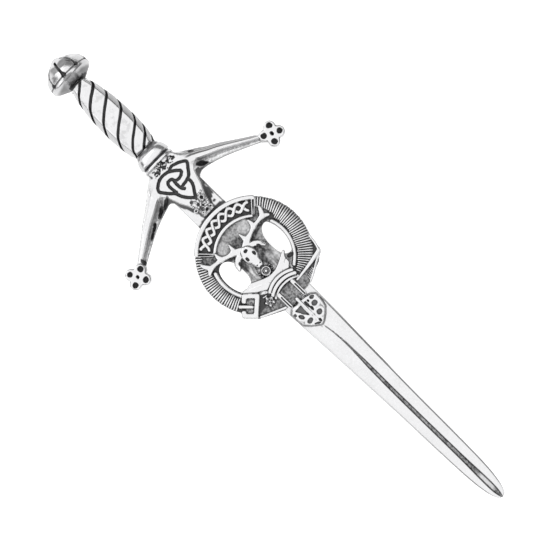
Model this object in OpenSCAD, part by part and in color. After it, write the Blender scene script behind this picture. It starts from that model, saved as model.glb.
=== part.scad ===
// A kilt pin in the form of a sword, cast in pewter, with a strap badge on its blade.
// It lies on its back: +Z is the front, +Y runs to the pommel and X goes across.
// The origin is under the middle of the whole pin, on the surface it rests on.

/* [Sword] */
// Height of the pommel, button included
pommel_h = 6.0; // [4:0.1:8]
// Radius of the pommel at its widest
pommel_r = 4.3; // [3.4:0.1:5]
// Length of the twisted grip
grip_l = 16.3; // [12:0.1:22]
// Width of the grip at its widest
grip_w = 6.1; // [4.6:0.1:7]
// Thickness of the grip from its flat back to its front
grip_t = 4.7; // [3.6:0.1:5.6]
// Length from the collar down to the point of the blade
reach = 82.4; // [70:0.2:95]

/* [Grip twist] */
// Number of spiral grooves
starts = 3; // [2:1:4]
// Length along the grip in which a groove goes round once
lead = 10.7; // [8:0.1:16]
// Width of a spiral groove
groove_w = 0.5; // [0.3:0.05:0.8]
// Depth of a spiral groove
groove_d = 0.42; // [0.2:0.02:0.6]

/* [Guard] */
// Height of the collar under the grip
collar_h = 3.3; // [2.6:0.1:4.5]
// Width of the collar
collar_w = 6.4; // [5.4:0.1:7.4]
// Distance between the middles of the two terminals
span = 34.2; // [28:0.2:42]
// How far a terminal lies below the collar
arm_drop = 10.3; // [8:0.1:13]
// Height of an arm at its root
arm_w = 3.8; // [3:0.1:4.6]
// Thickness of the guard from its back to its front
guard_t = 3.2; // [2.8:0.1:4]
// Height of the body of the guard between the arms
body_h = 6.2; // [5.6:0.1:7]
// Length of the pointed tongue on the blade
tongue_l = 5.5; // [4.5:0.1:6]
// Distance from the middle of the knot to the middle of a loop
knot_r = 1.58; // [1.3:0.02:1.75]
// Width of a line engraved round the knot
line_w = 0.36; // [0.25:0.01:0.45]
// Radius of one lobe of a terminal
lobe_r = 1.08; // [0.8:0.02:1.3]
// Distance of a lobe from the middle of its terminal
lobe_out = 1.32; // [1:0.02:1.6]
// Radius of a pit in a lobe
pit_r = 0.52; // [0.3:0.02:0.65]

/* [Blade] */
// Width of the blade where it leaves the guard
blade_w = 6.4; // [5.2:0.1:7.4]
// Thickness of the blade
blade_t = 1.5; // [1.2:0.05:2]
// Thickness of the blade along its edges
edge_t = 0.65; // [0.4:0.05:0.9]
// Width of the groove down the blade
fuller_w = 0.9; // [0.5:0.05:1.3]
// Depth of the groove down the blade
fuller_d = 0.4; // [0.2:0.02:0.6]

/* [Badge] */
// Distance from the collar down to the middle of the badge
badge_drop = 22.65; // [22:0.05:26]
// Radius of the round strap
badge_r = 10.3; // [9:0.1:11.5]
// Width of the round strap
strap_w = 3.5; // [3:0.05:3.9]
// Thickness of the badge plate
plate_t = 0.8; // [0.6:0.05:1.1]
// Height of the ribs and rims above the plate
rim_h = 0.6; // [0.4:0.05:0.8]
// Half of the angle that the plaited band takes
band_half = 43; // [36:1:50]
// Angle between two ribs of the strap
rib_step = 2.7; // [2.4:0.1:4]
// Height of the brow of the stag above the plate
head_h = 1.85; // [1.4:0.05:2.2]
// Length of the strap end that hangs on the blade
tail_l = 3.4; // [2.6:0.1:4.2]
// Length of the pointed strap tip
chape_l = 6.2; // [5:0.1:7.5]
// Width of the pointed strap tip
chape_w = 6.3; // [5.4:0.1:7]

/* [Back pin] */
// Diameter of the pin stem
stem_d = 1.2; // [0.9:0.05:1.6]
// Clear height for the cloth between the stem and the bar
cloth_gap = 4.6; // [4.2:0.1:6]
// Thickness of the bar on the back of the sword
bar_t = 0.55; // [0.4:0.05:0.9]
// Width of the bar on the back of the sword
bar_w = 3.0; // [2:0.1:4]
// Width of the block that holds the stem
joint_w = 5.4; // [4:0.1:6]
// Length of the block that holds the stem
joint_l = 3.6; // [3:0.1:5]
// Width of the catch
catch_w = 4.2; // [3:0.1:5]
// Length of the catch
catch_l = 2.6; // [2:0.1:4]
// Distance between the block and the catch, middle to middle
pin_reach = 49; // [40:0.5:56]

/* [Hidden] */
$fn = 48;

// Clearance between two pieces that sit against each other
seam = 0.03;
// How far raised work is sunk into what carries it
sink = 0.1;
// Height of the stem above the surface that the pin rests on
lift = 0.15;

total_l = pommel_h + grip_l + collar_h + reach;
y_top = total_l / 2;
y_grip = y_top - pommel_h;
y_collar = y_grip - grip_l;
y_guard = y_collar - collar_h;
y_body = y_guard - body_h;
y_badge = y_guard - badge_drop;
y_tip = -total_l / 2;
blade_l = y_body - y_tip;

z_back = lift + stem_d + cloth_gap + bar_t;
z_blade = z_back + blade_t;
z_badge = z_blade + seam;
z_plate = z_badge + plate_t;
z_rim = z_plate + rim_h;
z_guard = z_back + guard_t;

strap_in = badge_r - strap_w;
metal = [0.80, 0.80, 0.81];
dull_metal = [0.72, 0.72, 0.74];

// Shapes made from rings of points and from rows along a path

// Solid through a list of rings, each clockwise for someone looking the way the rings go.
// Where the rings also turn clockwise, lean lays the facets along the turn.
module loft(rings, lean = false) {
    count = len(rings);
    m = len(rings[0]);
    start = [for (j = [0:m - 1]) j];
    end = [for (j = [m - 1:-1:0]) (count - 1) * m + j];
    sides = [
        for (i = [0:count - 2], j = [0:m - 1])
            let (a = i * m + j, b = i * m + (j + 1) % m)
            each lean ? [[a, a + m, b], [b, a + m, b + m]] : [[a, a + m, b + m], [a, b + m, b]]
    ];
    polyhedron(points = [for (ring = rings) each ring], faces = concat([start, end], sides), convexity = 8);
}

function spot(row) = [row[0], row[1]];
function unit(v) = v / norm(v);
function heading(rows, i) =
    unit(spot(rows[min(i + 1, len(rows) - 1)]) - spot(rows[max(i - 1, 0)]));
function across(rows, i) = [-heading(rows, i).y, heading(rows, i).x];
function at(p, z) = [p.x, p.y, z];

// Raised ridge along rows of [x, y, half width, top height], standing on the height foot.
// Its crown lies a little ahead of its foot, so its flanks twist slightly.
module ridge(rows, foot, crown = 0.55) {
    loft([
        for (i = [0:len(rows) - 1])
            let (
                p = spot(rows[i]),
                s = across(rows, i) * rows[i][2],
                q = p + heading(rows, i) * 0.05,
                top = rows[i][3]
            )
            [at(p + s, foot), at(q + s * crown, top), at(q - s * crown, top), at(p - s, foot)]
    ]);
}

// Rows of a ridge along an arc
function arc_rows(r, from, to, half_w, top, steps, centre = [0, 0]) = [
    for (i = [0:steps])
        let (a = from + (to - from) * i / steps)
        [centre.x + r * cos(a), centre.y + r * sin(a), half_w, top]
];

// Straight ridge between two points; end is its width at b as a share of its width at a
module bar(a, b, half_w, top, foot, crown = 0.55, end = 0.95) {
    ridge([[a.x, a.y, half_w, top], [b.x, b.y, half_w * end, top]], foot, crown);
}

module both_sides() {
    children();
    mirror([1, 0, 0]) children();
}

// Half of the space in front of the flat back of the sword
module in_front(reach_x, y_low, y_high) {
    translate([-reach_x, y_low, z_back]) cube([2 * reach_x, y_high - y_low, 4 * reach_x]);
}

// Turned shape round the length of the sword: rows of [radius, depth below y_start]
module turned(rows, y_start, z_axis) {
    translate([0, y_start, z_axis]) rotate([90, 0, 0]) rotate_extrude() polygon(rows);
}

// Pommel

pommel_turn = -3;
gores = 8;
pommel_z = z_back + pommel_r * 0.36;
// Each row: share of the radius, share of the height below the top
pommel_profile = [
    [0, 0], [0.11, 0.02], [0.2, 0.06], [0.2, 0.12], [0.32, 0.14], [0.41, 0.165], [0.63, 0.245],
    [0.77, 0.33], [0.88, 0.42], [0.95, 0.5], [0.985, 0.56], [1, 0.62], [0.995, 0.68], [0.965, 0.765],
    [0.85, 0.85], [0.63, 0.935], [0.46, 0.995], [0.46, 1], [0, 1]
];

module pommel_groove(turn) {
    outer = [for (i = [3:9]) pommel_profile[i]];
    inner = [for (i = [9:-1:3]) [pommel_profile[i][0] - 0.06, pommel_profile[i][1] + 0.035]];
    shares = concat(outer, [[1.1, 0.5], [1.1, 0], [0.3, 0]], []);
    floor_line = concat(inner, [[0.3, 0], [1.1, 0], [1.1, 0.5]]);
    translate([0, y_top, pommel_z]) rotate([90, turn, 0]) rotate([90, 0, 0])
        linear_extrude(0.34, center = true)
            polygon([for (p = floor_line) [p[0] * pommel_r, p[1] * (pommel_h - seam)]]);
}

module pommel() {
    deep = pommel_h - seam;
    dish_r = pommel_r * 0.42;
    dish_clear = dish_r - 0.22;
    color(metal)
    intersection() {
        difference() {
            turned([for (p = pommel_profile) [p[0] * pommel_r, p[1] * deep]], y_top, pommel_z);
            for (i = [-2:2]) pommel_groove(pommel_turn + i * 360 / gores);
            for (i = [-2:1])
                translate([0, y_top, pommel_z]) rotate([0, pommel_turn + (i + 0.5) * 360 / gores, 0])
                    translate([0, dish_clear * 0.75 - deep * 0.28, pommel_r * 0.67 + dish_clear * 0.66])
                        sphere(dish_r);
        }
        in_front(pommel_r + 1, y_top - pommel_h - 1, y_top + 1);
    }
}

// Grip

// Each row: share of the length from the collar up, share of the half width
grip_rows = [
    [0, 0.75], [0.035, 0.77], [0.07, 0.84], [0.12, 0.895], [0.17, 0.935], [0.23, 0.965], [0.33, 1],
    [0.44, 0.99], [0.545, 0.965], [0.65, 0.935], [0.755, 0.85], [0.81, 0.81], [0.86, 0.76],
    [0.915, 0.68], [0.96, 0.6], [1, 0.57]
];
grip_turns = grip_l / lead;
grip_steps = 28;
// Places round one twist, as shares of it: the groove takes the middle three
twist_places = [-0.42, -0.33, -0.22, -0.12, -0.06, 0, 0.06, 0.12, 0.22, 0.33, 0.42, 0.5];
grip_z = z_back + grip_t * 0.4;

function grip_width(share) = lookup(share, grip_rows) * grip_w / 2;
function squarish(a, power) =
    1 / pow(pow(abs(cos(a)), power) + pow(abs(sin(a)), power), 1 / power);
function groove_share(place) = max(0, 1 - abs(place) / (groove_w * starts / (PI * grip_w) * 1.6));

// One point of the grip; a is clockwise from -X for someone looking towards the pommel
function grip_point(share, a, place) =
    let (
        w = grip_width(share),
        up = (grip_t * 0.6) * (0.5 + 0.5 * w / (grip_w / 2)),
        free = max(0, min(1, sin(a) * 1.6 + 0.75)),
        r = squarish(a, 2.5),
        cut = groove_d * groove_share(place) * free,
        x = -cos(a) * (w * r - cut),
        z = sin(a) * (up * r - cut)
    )
    [x, y_collar + seam + share * (grip_l - 2 * seam), max(z_back, grip_z + z)];

module grip() {
    color(metal)
    loft([
        for (i = [0:grip_steps])
            let (share = i / grip_steps, turn = 360 * grip_turns * share + 20)
            [
                for (s = [0:starts - 1], place = twist_places)
                    grip_point(share, turn + (s + place) * 360 / starts, place)
            ]
    ], lean = true);
}

// Guard

collar_z = z_back + collar_w * 0.3;
// Each row: share of the half width, share of the collar height from its top
collar_rows = [
    [0, 0], [0.68, 0], [0.7, 0.16], [0.76, 0.2], [0.93, 0.28], [1, 0.42], [1, 0.5], [0.93, 0.66],
    [0.84, 0.72], [0.84, 0.79], [0.95, 0.84], [0.98, 1], [0, 1]
];

module collar() {
    intersection() {
        turned([for (p = collar_rows) [p[0] * collar_w / 2, p[1] * (collar_h + sink)]], y_collar, collar_z);
        in_front(collar_w, y_guard - 1, y_collar);
    }
}

reach_x = span / 2;
// Each row: share of the way out to the terminal, share of the drop, share of the half height,
// share of the thickness at the ridge, share of the half height where the upper facet meets the ridge
arm_rows = [
    [0.22, 0.34, 1.04, 1, 0.7], [0.304, 0.395, 0.97, 0.99, 0.6], [0.404, 0.474, 0.8, 0.95, 0.42],
    [0.506, 0.55, 0.7, 0.9, 0.3], [0.608, 0.64, 0.59, 0.86, 0.28], [0.708, 0.735, 0.5, 0.82, 0.3],
    [0.807, 0.828, 0.43, 0.78, 0.32], [0.895, 0.91, 0.38, 0.74, 0.34]
];

// Section of an arm, clockwise for someone looking out along it: share of the half height up from
// the middle, share of the ridge height
function arm_section(facet) = [
    [1, 0], [1, 0.42], [(1 + facet) / 2, 0.73], [facet, 1], [0.02, 1], [-0.16, 0.72], [-0.52, 0.5],
    [-0.86, 0.42], [-1, 0.36], [-1, 0]
];

module arm() {
    path = [for (row = arm_rows) [row[0] * reach_x, y_guard - row[1] * arm_drop]];
    loft([
        for (i = [0:len(arm_rows) - 1])
            let (up = across(path, i) * arm_rows[i][2] * arm_w / 2, tall = arm_rows[i][3] * guard_t)
            [for (s = arm_section(arm_rows[i][4])) at(path[i] + up * s[0], z_back + s[1] * tall)]
    ]);
}

// Right half of the outline of the body, from the collar to the point of the tongue.
// Each row: share of the collar half width, share of the body height, or of the tongue past 1
body_half = [
    [0.92, -0.03], [1.02, 0.08], [1.3, 0.19], [1.62, 0.31], [1.62, 0.96], [1.34, 0.95], [1.08, 1], [1.0, 1.1]
];
body_top_half = [
    [0.84, 0.13], [1.0, 0.19], [1.3, 0.31], [1.6, 0.48], [1.6, 0.64], [1.26, 0.71], [1.07, 0.85], [0.9, 1.08]
];
tongue_half = [[0.66, 1.62], [0.3, 1.97]];
tongue_top_half = [[0.54, 1.6], [0.18, 1.9]];

function body_y(share) =
    y_guard - min(share, 1) * body_h - max(share - 1, 0) * tongue_l;
function mirrored(half, z) = concat(
    [for (p = half) [p[0] * collar_w / 2, body_y(p[1]), z]],
    [for (i = [len(half) - 1:-1:0]) [-half[i][0] * collar_w / 2, body_y(half[i][1]), z]]
);

module body_block() {
    low = concat(body_half, tongue_half);
    top = concat(body_top_half, tongue_top_half);
    loft([
        mirrored(top, z_guard), mirrored(low, z_back + guard_t * 0.47), mirrored(low, z_back)
    ]);
}

knot_y = y_guard - body_h * 0.76;

// Lines on both sides of one strand of the three-cornered knot, open where it passes under.
// Each row: side of the strand, first and last angle
strand_lines = [[1, 85, 190], [1, 218, 275], [-1, 98, 202], [-1, 230, 262]];

module knot_strand() {
    loop_r = knot_r * sqrt(3);
    strand = knot_r * 0.31;
    deep = 0.3;
    for (row = strand_lines)
        ridge(arc_rows(loop_r + row[0] * strand, row[1], row[2], line_w / 2, z_guard + deep,
            ceil((row[2] - row[1]) / 16), [knot_r, 0]), z_guard - deep, 1);
}

module knot_lines() {
    translate([0, knot_y, 0])
        for (turn = [90, 210, 330]) rotate([0, 0, turn]) knot_strand();
}

module terminal() {
    tall = guard_t * 0.78;
    translate([reach_x, y_guard - arm_drop, z_back + 0.1]) rotate([0, 0, 18])
        difference() {
            union() {
                for (turn = [45:90:315]) rotate([0, 0, turn]) translate([lobe_out, 0, 0])
                    hull() {
                        cylinder(r = lobe_r, h = tall * 0.75, $fn = 16);
                        cylinder(r = lobe_r * 0.8, h = tall, $fn = 16);
                    }
                cylinder(r = lobe_out, h = tall * 0.94, $fn = 16);
            }
            for (turn = [45:90:315]) rotate([0, 0, turn]) translate([lobe_out * 1.03, 0, tall * 0.6])
                cylinder(r = pit_r, h = tall, $fn = 12);
            translate([0, 0, tall * 0.75]) cylinder(r = pit_r * 0.55, h = tall, $fn = 8);
        }
}

module blade_seat() {
    wide = blade_w + 2 * seam;
    translate([-wide / 2, y_guard - body_h - 4 * tongue_l, z_back - 1])
        cube([wide, 4 * tongue_l, z_blade + seam - z_back + 1]);
}

module neck_hollow() {
    translate([0, y_guard - body_h * 0.13, z_guard - 0.12])
        for (x = [-1.7:0.85:1.7]) translate([x, 0.16 * sin(x * 300), 0])
            hull() {
                translate([-0.3, 0, 0]) cylinder(r1 = 0.3, r2 = 0.5, h = 0.5, $fn = 8);
                translate([0.3, 0, 0]) cylinder(r1 = 0.3, r2 = 0.5, h = 0.5, $fn = 8);
            }
}

module guard() {
    color(metal)
    difference() {
        union() {
            collar();
            body_block();
            both_sides() {
                arm();
                terminal();
            }
        }
        knot_lines();
        neck_hollow();
        blade_seat();
    }
}

// Blade

// Each row: share of the blade length from the point up, share of the half width,
// share of that half width that is flat in front, share from edge to full thickness,
// share of the groove
blade_rows = [
    [0, 0.02, 0.5, 0.1, 0], [0.005, 0.17, 0.5, 0.2, 0], [0.011, 0.25, 0.5, 0.3, 0.05], [0.02, 0.355, 0.5, 0.35, 0.35],
    [0.031, 0.435, 0.52, 0.45, 0.8], [0.043, 0.485, 0.54, 0.55, 1], [0.066, 0.57, 0.55, 0.7, 1],
    [0.111, 0.635, 0.55, 0.85, 1], [0.2, 0.69, 0.55, 1, 1], [0.29, 0.725, 0.55, 1, 1], [0.38, 0.79, 0.55, 1, 0.8],
    [0.475, 0.86, 0.55, 1, 0.35], [0.54, 0.925, 0.55, 1, 0.1], [0.557, 0.94, 0.56, 1, 0], [0.578, 0.96, 0.98, 1, 0],
    [0.61, 0.985, 0.98, 1, 0], [0.68, 1, 0.98, 1, 0], [1, 1, 0.98, 1, 0]
];

function blade_section(row) =
    let (
        y = y_tip + row[0] * (blade_l - seam),
        w = row[1] * blade_w / 2,
        flat = w * row[2],
        full = z_back + edge_t + (blade_t - edge_t) * row[3],
        square = row[2] > 0.9,
        edge = z_back + (square ? blade_t : edge_t * (0.4 + 0.6 * row[3])),
        groove = min(fuller_w / 2 * max(row[4], 0.06), flat * 0.8),
        deep = fuller_d * min(row[4] * 1.5, 1)
    )
    [
        [-w, y, z_back], [-w, y, edge], [-flat, y, full], [-groove, y, full], [-groove * 0.5, y, full - deep],
        [groove * 0.5, y, full - deep], [groove, y, full], [flat, y, full], [w, y, edge], [w, y, z_back]
    ];

module blade() {
    color(metal) loft([for (row = blade_rows) blade_section(row)]);
}

// Badge, drawn round its own middle

rail = strap_w * 0.16;
strap_mid = badge_r - strap_w / 2;
foot = z_plate - sink;
// Where the ribs end, counterclockwise from +X: both ends of the right and of the left run
right_ribs = [-46, 90 - band_half - 2];
left_ribs = [90 + band_half + 2, 208];

module half_ring(from, to, r_in, r_out) {
    steps = 24;
    arc_out = [for (i = [0:steps]) let (a = from + (to - from) * i / steps) r_out * [cos(a), sin(a)]];
    arc_in = [for (i = [steps:-1:0]) let (a = from + (to - from) * i / steps) r_in * [cos(a), sin(a)]];
    polygon(concat(arc_out, arc_in));
}

// One of the two openings beside the head
module opening_outline() {
    intersection() {
        circle(r = strap_in - 0.06);
        offset(r = 1.1) translate([blade_w / 2 + 1.15, -strap_in * 0.4])
            square([strap_w, strap_in * 0.68]);
    }
}

// Outer edge of the strap below the middle, where it runs straight, as shares of its radius
lower_edge = [
    [-0.86, -0.52], [-0.71, -0.8], [-0.3, -1.01], [0.26, -1.0], [0.69, -0.84], [0.85, -0.7], [0.87, -0.5]
];

module plate_outline() {
    difference() {
        union() {
            circle(r = badge_r * 0.985, $fn = 72);
            polygon([for (p = lower_edge) p * badge_r]);
        }
        opening_outline();
        mirror([1, 0]) opening_outline();
    }
}

module ribs(range) {
    count = floor((range[1] - range[0]) / rib_step);
    for (i = [0:count])
        let (a = range[0] + i * rib_step, out = [cos(a), sin(a)])
        bar(out * (strap_in + rail * 0.6), out * (badge_r - 0.02), strap_mid * PI * rib_step / 360 * 0.72,
            z_rim - 0.05, foot, 0.6, 1.25);
}

// Two strands that cross and cross again along the band
module plait() {
    crossings = 7;
    sweep = band_half - 5;
    steps = crossings * 5;
    for (side = [-1, 1])
        ridge([
            for (i = [0:steps])
                let (
                    a = 90 - sweep + 2 * sweep * i / steps,
                    r = strap_mid - rail * 0.2 + side * strap_w * 0.2 * cos(180 * crossings * i / steps)
                )
                [r * cos(a), r * sin(a), strap_w * 0.085, z_rim]
        ], foot, 0.6);
}

module plait_band() {
    left = 90 + band_half;
    right = 90 - band_half;
    ridge(arc_rows(badge_r - rail * 0.6, right, left, rail * 0.66, z_rim + 0.1, 22), foot);
    ridge(arc_rows(strap_in + rail * 0.1, right, left, rail * 0.66, z_rim + 0.1, 18), foot);
    for (a = [right, left]) {
        out = [cos(a), sin(a)];
        bar(out * (strap_in + rail * 0.4), out * (badge_r - rail * 0.8), 0.16, z_rim, foot);
    }
    plait();
}

module round_strap() {
    plait_band();
    ribs(right_ribs);
    ribs(left_ribs);
    ridge(arc_rows(strap_in + rail * 0.45, right_ribs[0], right_ribs[1], rail * 0.6, z_rim, 18), foot);
    ridge(arc_rows(strap_in + rail * 0.45, left_ribs[0], left_ribs[1], rail * 0.6, z_rim, 12), foot);
}

// The antler on the right: a beam and upright tines, as shares of the inner radius of the strap
antler_beam = [
    [0.06, 0.24, 0.055, 0.62], [0.2, 0.335, 0.062, 0.6], [0.4, 0.425, 0.062, 0.56], [0.62, 0.46, 0.06, 0.54],
    [0.84, 0.5, 0.052, 0.52], [1.0, 0.6, 0.045, 0.5]
];
antler_tines = [
    [[0.2, 0.33, 0.06, 0.53], [0.17, 0.46, 0.045, 0.54], [0.19, 0.62, 0.012, 0.46]],
    [[0.52, 0.43, 0.06, 0.48], [0.56, 0.58, 0.045, 0.52], [0.56, 0.74, 0.012, 0.44]],
    [[0.84, 0.48, 0.055, 0.45], [0.86, 0.62, 0.04, 0.5], [0.85, 0.76, 0.012, 0.44]]
];

function on_badge(row) =
    [row[0] * strap_in, row[1] * strap_in, row[2] * strap_in, z_plate + row[3] * head_h];

module antler() {
    ridge([for (row = antler_beam) on_badge(row)], foot);
    for (tine = antler_tines) ridge([for (row = tine) on_badge(row)], foot);
}

// Rounded lump whose top is smaller than its foot; sizes are shares like those of the antlers
module lump(x, y, rx, ry, top, crown = 0.6) {
    translate([x * strap_in, y * strap_in, foot])
        hull() {
            scale([rx * strap_in, ry * strap_in, 1]) cylinder(r = 1, h = 0.1, $fn = 14);
            scale([rx * strap_in * crown, ry * strap_in * crown, 1])
                cylinder(r = 1, h = top * head_h + sink, $fn = 14);
        }
}

ear = [[0.19, 0.16, 0.05, 0.6], [0.29, 0.13, 0.095, 0.62], [0.39, 0.07, 0.085, 0.55], [0.48, -0.02, 0.012, 0.42]];

module stag() {
    hull() {
        lump(0, 0.16, 0.25, 0.11, 0.8, 0.72);
        lump(0, -0.05, 0.15, 0.1, 0.98, 0.5);
    }
    hull() {
        lump(0, -0.02, 0.15, 0.1, 0.94, 0.6);
        lump(0, -0.22, 0.115, 0.08, 1, 0.72);
    }
    hull() {
        lump(0, -0.2, 0.17, 0.1, 0.44, 0.7);
        lump(0, -0.56, 0.27, 0.12, 0.4, 0.8);
    }
    lump(0, -0.275, 0.105, 0.05, 0.82, 0.7);
    both_sides() {
        lump(0.17, 0.08, 0.055, 0.06, 0.92, 0.5);
        lump(0.11, 0.25, 0.07, 0.06, 0.84, 0.7);
        ridge([for (row = ear) on_badge(row)], foot, 0.35);
        antler();
    }
}

leaf = [
    [0.2, -0.72, 0.12, 0.66], [0.4, -0.64, 0.14, 0.66], [0.6, -0.56, 0.125, 0.6], [0.78, -0.5, 0.08, 0.54],
    [0.95, -0.46, 0.035, 0.46]
];
small_leaf = [[0.14, -0.7, 0.09, 0.66], [0.25, -0.57, 0.08, 0.6], [0.32, -0.44, 0.012, 0.5]];

// Curved wreath under the head, with a spray of leaves on each side
module wreath() {
    bend_r = 0.8 * strap_in;
    for (low = [0, 0.13])
        ridge(arc_rows(bend_r, 62, 118, 0.06 * strap_in, z_plate + (0.82 - low) * head_h, 8,
            [0, -(1.57 + low) * strap_in]), foot, 0.7);
    both_sides() {
        ridge([for (row = leaf) on_badge(row)], foot, 0.4);
        ridge([for (row = small_leaf) on_badge(row)], foot, 0.4);
    }
    lump(0, -0.5, 0.085, 0.085, 0.72, 0.6);
}

// Three-sided buckle frame over the strap, with its prong
buckle_turn = 221;
buckle_l = strap_w * 1.22;
buckle_d = strap_w * 0.84;

module buckle() {
    top = z_rim + 0.45;
    half = rail * 0.62;
    inner = strap_mid - buckle_l * 0.52;
    outer = strap_mid + buckle_l * 0.5;
    rotate([0, 0, buckle_turn]) {
        bar([inner, buckle_d / 2 + half], [outer, buckle_d / 2 + half], half, top, foot, 0.7);
        bar([inner + half, buckle_d / 2 + half], [inner + half, -buckle_d / 2], half, top, foot, 0.7);
        bar([outer - half, buckle_d / 2 + half], [outer - half, -buckle_d / 2], half, top, foot, 0.7);
        bar([strap_mid, buckle_d * 0.42], [strap_mid - strap_w * 0.05, -buckle_d * 0.42], half * 0.75, top, foot, 0.7);
    }
}

// Plain stretch of strap between the buckle and the hanging end, and the fold on the other side
module lower_strap() {
    low_left = [-badge_r * 0.67, -badge_r * 0.765];
    low_mid = [-chape_w * 0.42, -badge_r * 0.955];
    bar(low_left, low_mid, rail * 0.36, z_rim + 0.1, foot);
    bar([chape_w * 0.34, -badge_r * 0.79], [badge_r * 0.83, -badge_r * 0.7], rail * 0.5, z_rim + 0.25, foot);
    rotate([0, 0, 243]) translate([strap_mid * 0.98, 0, 0])
        for (turn = [0:72:288]) rotate([0, 0, turn]) translate([0.5, 0, foot])
            hull() {
                cylinder(r = 0.25, h = sink / 2, $fn = 8);
                cylinder(r = 0.15, h = rim_h * 0.6 + sink, $fn = 8);
            }
}

// Hanging strap end with two rails
module tail() {
    top_y = -strap_in * 1.07;
    low_y = -badge_r * 0.72 - tail_l;
    half = chape_w * 0.36;
    translate([-half, low_y, z_badge]) cube([2 * half, top_y - low_y, plate_t + rim_h * 0.45]);
    both_sides()
        bar([half * 0.82, top_y - 0.5], [half * 0.82, low_y + 0.2], 0.34, z_rim + 0.3, foot);
}

// Right half of the strap tip outline: share of its half width, share of its length
chape_half = [[0.62, 0], [0.86, 0.06], [1, 0.17], [0.98, 0.6], [0.84, 0.78], [0.4, 0.93], [0, 1]];

module chape_outline() {
    w = chape_w / 2;
    polygon(concat(
        [for (p = chape_half) [p[0] * w, -p[1] * chape_l]],
        [for (i = [len(chape_half) - 2:-1:0]) [-chape_half[i][0] * w, -chape_half[i][1] * chape_l]]
    ));
}

// Loops of the strap tip ornament: x, y and radius as shares of its half width
chape_loops = [[0.42, -0.42, 0.26], [0.5, -0.92, 0.22], [0.32, -1.34, 0.2]];

module chape() {
    w = chape_w / 2;
    translate([0, -badge_r * 0.72 - tail_l + 0.1, 0]) {
        translate([0, 0, z_badge]) linear_extrude(plate_t * 0.93) chape_outline();
        rows = [for (p = chape_half) [p[0] * w * 0.9, -p[1] * chape_l * 0.94 - 0.1, 0.2, z_rim]];
        both_sides() {
            ridge(rows, foot);
            for (p = chape_loops)
                ridge(arc_rows(p[2] * w, -180, 150, 0.17, z_rim, 10, [p[0] * w, p[1] * w]), foot);
        }
        bar([0, 0.35], [0, -chape_l * 0.86], 0.3, z_rim + 0.1, foot);
        bar([-w * 0.42, -0.42], [w * 0.42, -0.42], 0.18, z_rim, foot);
    }
}

module badge() {
    color(metal)
    translate([0, y_badge, 0]) {
        translate([0, 0, z_badge]) linear_extrude(plate_t) plate_outline();
        round_strap();
        stag();
        wreath();
        lower_strap();
        buckle();
        tail();
        chape();
    }
}

// Back pin

y_joint = y_guard - joint_l / 2 + 1;
y_catch = y_joint - pin_reach;
stem_z = lift + stem_d / 2;
// Play of the stem in the slot of the catch
slot_play = 0.1;

// Block from the bar down to the surface: a round barrel, flat underneath, on a narrower web
module pin_post(y, w, l) {
    barrel_r = l / 2;
    barrel_z = barrel_r * 0.9;
    intersection() {
        translate([-w / 2, y, barrel_z]) rotate([0, 90, 0]) cylinder(r = barrel_r, h = w);
        translate([-w / 2, y - l / 2, 0]) cube([w, l, 2 * l]);
    }
    translate([-w / 2, y - l * 0.3, barrel_z]) cube([w, l * 0.6, z_back - seam - barrel_z]);
}

// Opening in the side of the catch that takes the stem
module catch_slot() {
    high = stem_d + 2 * slot_play;
    translate([-stem_d / 2 - slot_play, y_catch - catch_l, stem_z - high / 2])
        cube([catch_w, 2 * catch_l, high]);
}

module back_pin() {
    point_l = stem_d * 3;
    past = 4.5;
    color(dull_metal)
    union() {
        pin_post(y_joint, joint_w, joint_l);
        difference() {
            pin_post(y_catch, catch_w, catch_l);
            catch_slot();
        }
        translate([-bar_w / 2, y_catch, z_back - seam - bar_t]) cube([bar_w, pin_reach, bar_t]);
        translate([0, y_joint, stem_z]) rotate([90, 0, 0]) cylinder(d = stem_d, h = pin_reach + past);
        translate([0, y_joint - pin_reach - past, stem_z]) rotate([90, 0, 0])
            cylinder(d1 = stem_d, d2 = stem_d * 0.2, h = point_l);
    }
}

pommel();
grip();
guard();
blade();
badge();
back_pin();
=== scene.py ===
"""The looks of a kilt pin in the form of a sword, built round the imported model.

Each casting is a field of signed distances on a grid, in millimetres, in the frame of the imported
model. Forms are joined to it and carved out of it, and its surface becomes a mesh in metres.
"""

import math

import bpy
import numpy as np
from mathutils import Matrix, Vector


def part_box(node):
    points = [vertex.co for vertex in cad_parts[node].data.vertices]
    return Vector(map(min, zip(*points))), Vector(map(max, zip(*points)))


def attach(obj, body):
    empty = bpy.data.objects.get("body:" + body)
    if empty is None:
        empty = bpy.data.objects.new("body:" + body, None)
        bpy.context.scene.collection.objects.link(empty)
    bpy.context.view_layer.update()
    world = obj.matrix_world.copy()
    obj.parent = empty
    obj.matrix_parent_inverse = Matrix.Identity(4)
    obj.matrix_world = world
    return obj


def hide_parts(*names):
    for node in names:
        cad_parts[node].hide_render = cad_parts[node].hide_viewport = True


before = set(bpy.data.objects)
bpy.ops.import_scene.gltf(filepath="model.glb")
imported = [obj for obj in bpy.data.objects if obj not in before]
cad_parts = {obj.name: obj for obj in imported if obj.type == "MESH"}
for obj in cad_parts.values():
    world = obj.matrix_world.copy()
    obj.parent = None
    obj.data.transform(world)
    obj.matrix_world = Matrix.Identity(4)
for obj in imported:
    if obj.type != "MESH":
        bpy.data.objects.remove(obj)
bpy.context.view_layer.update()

MM = 0.001


def node_box(name):
    """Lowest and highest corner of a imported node, in millimetres."""
    return [np.array(corner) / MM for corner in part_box(name)]


# Sizes and places, in millimetres

BLADE_LOW, BLADE_HIGH = node_box("blade")
GUARD_LOW, GUARD_HIGH = node_box("guard")
GRIP_LOW, GRIP_HIGH = node_box("grip")
POMMEL_LOW, POMMEL_HIGH = node_box("pommel")
BADGE_LOW, BADGE_HIGH = node_box("badge")
PIN_LOW, PIN_HIGH = node_box("back_pin")

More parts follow.
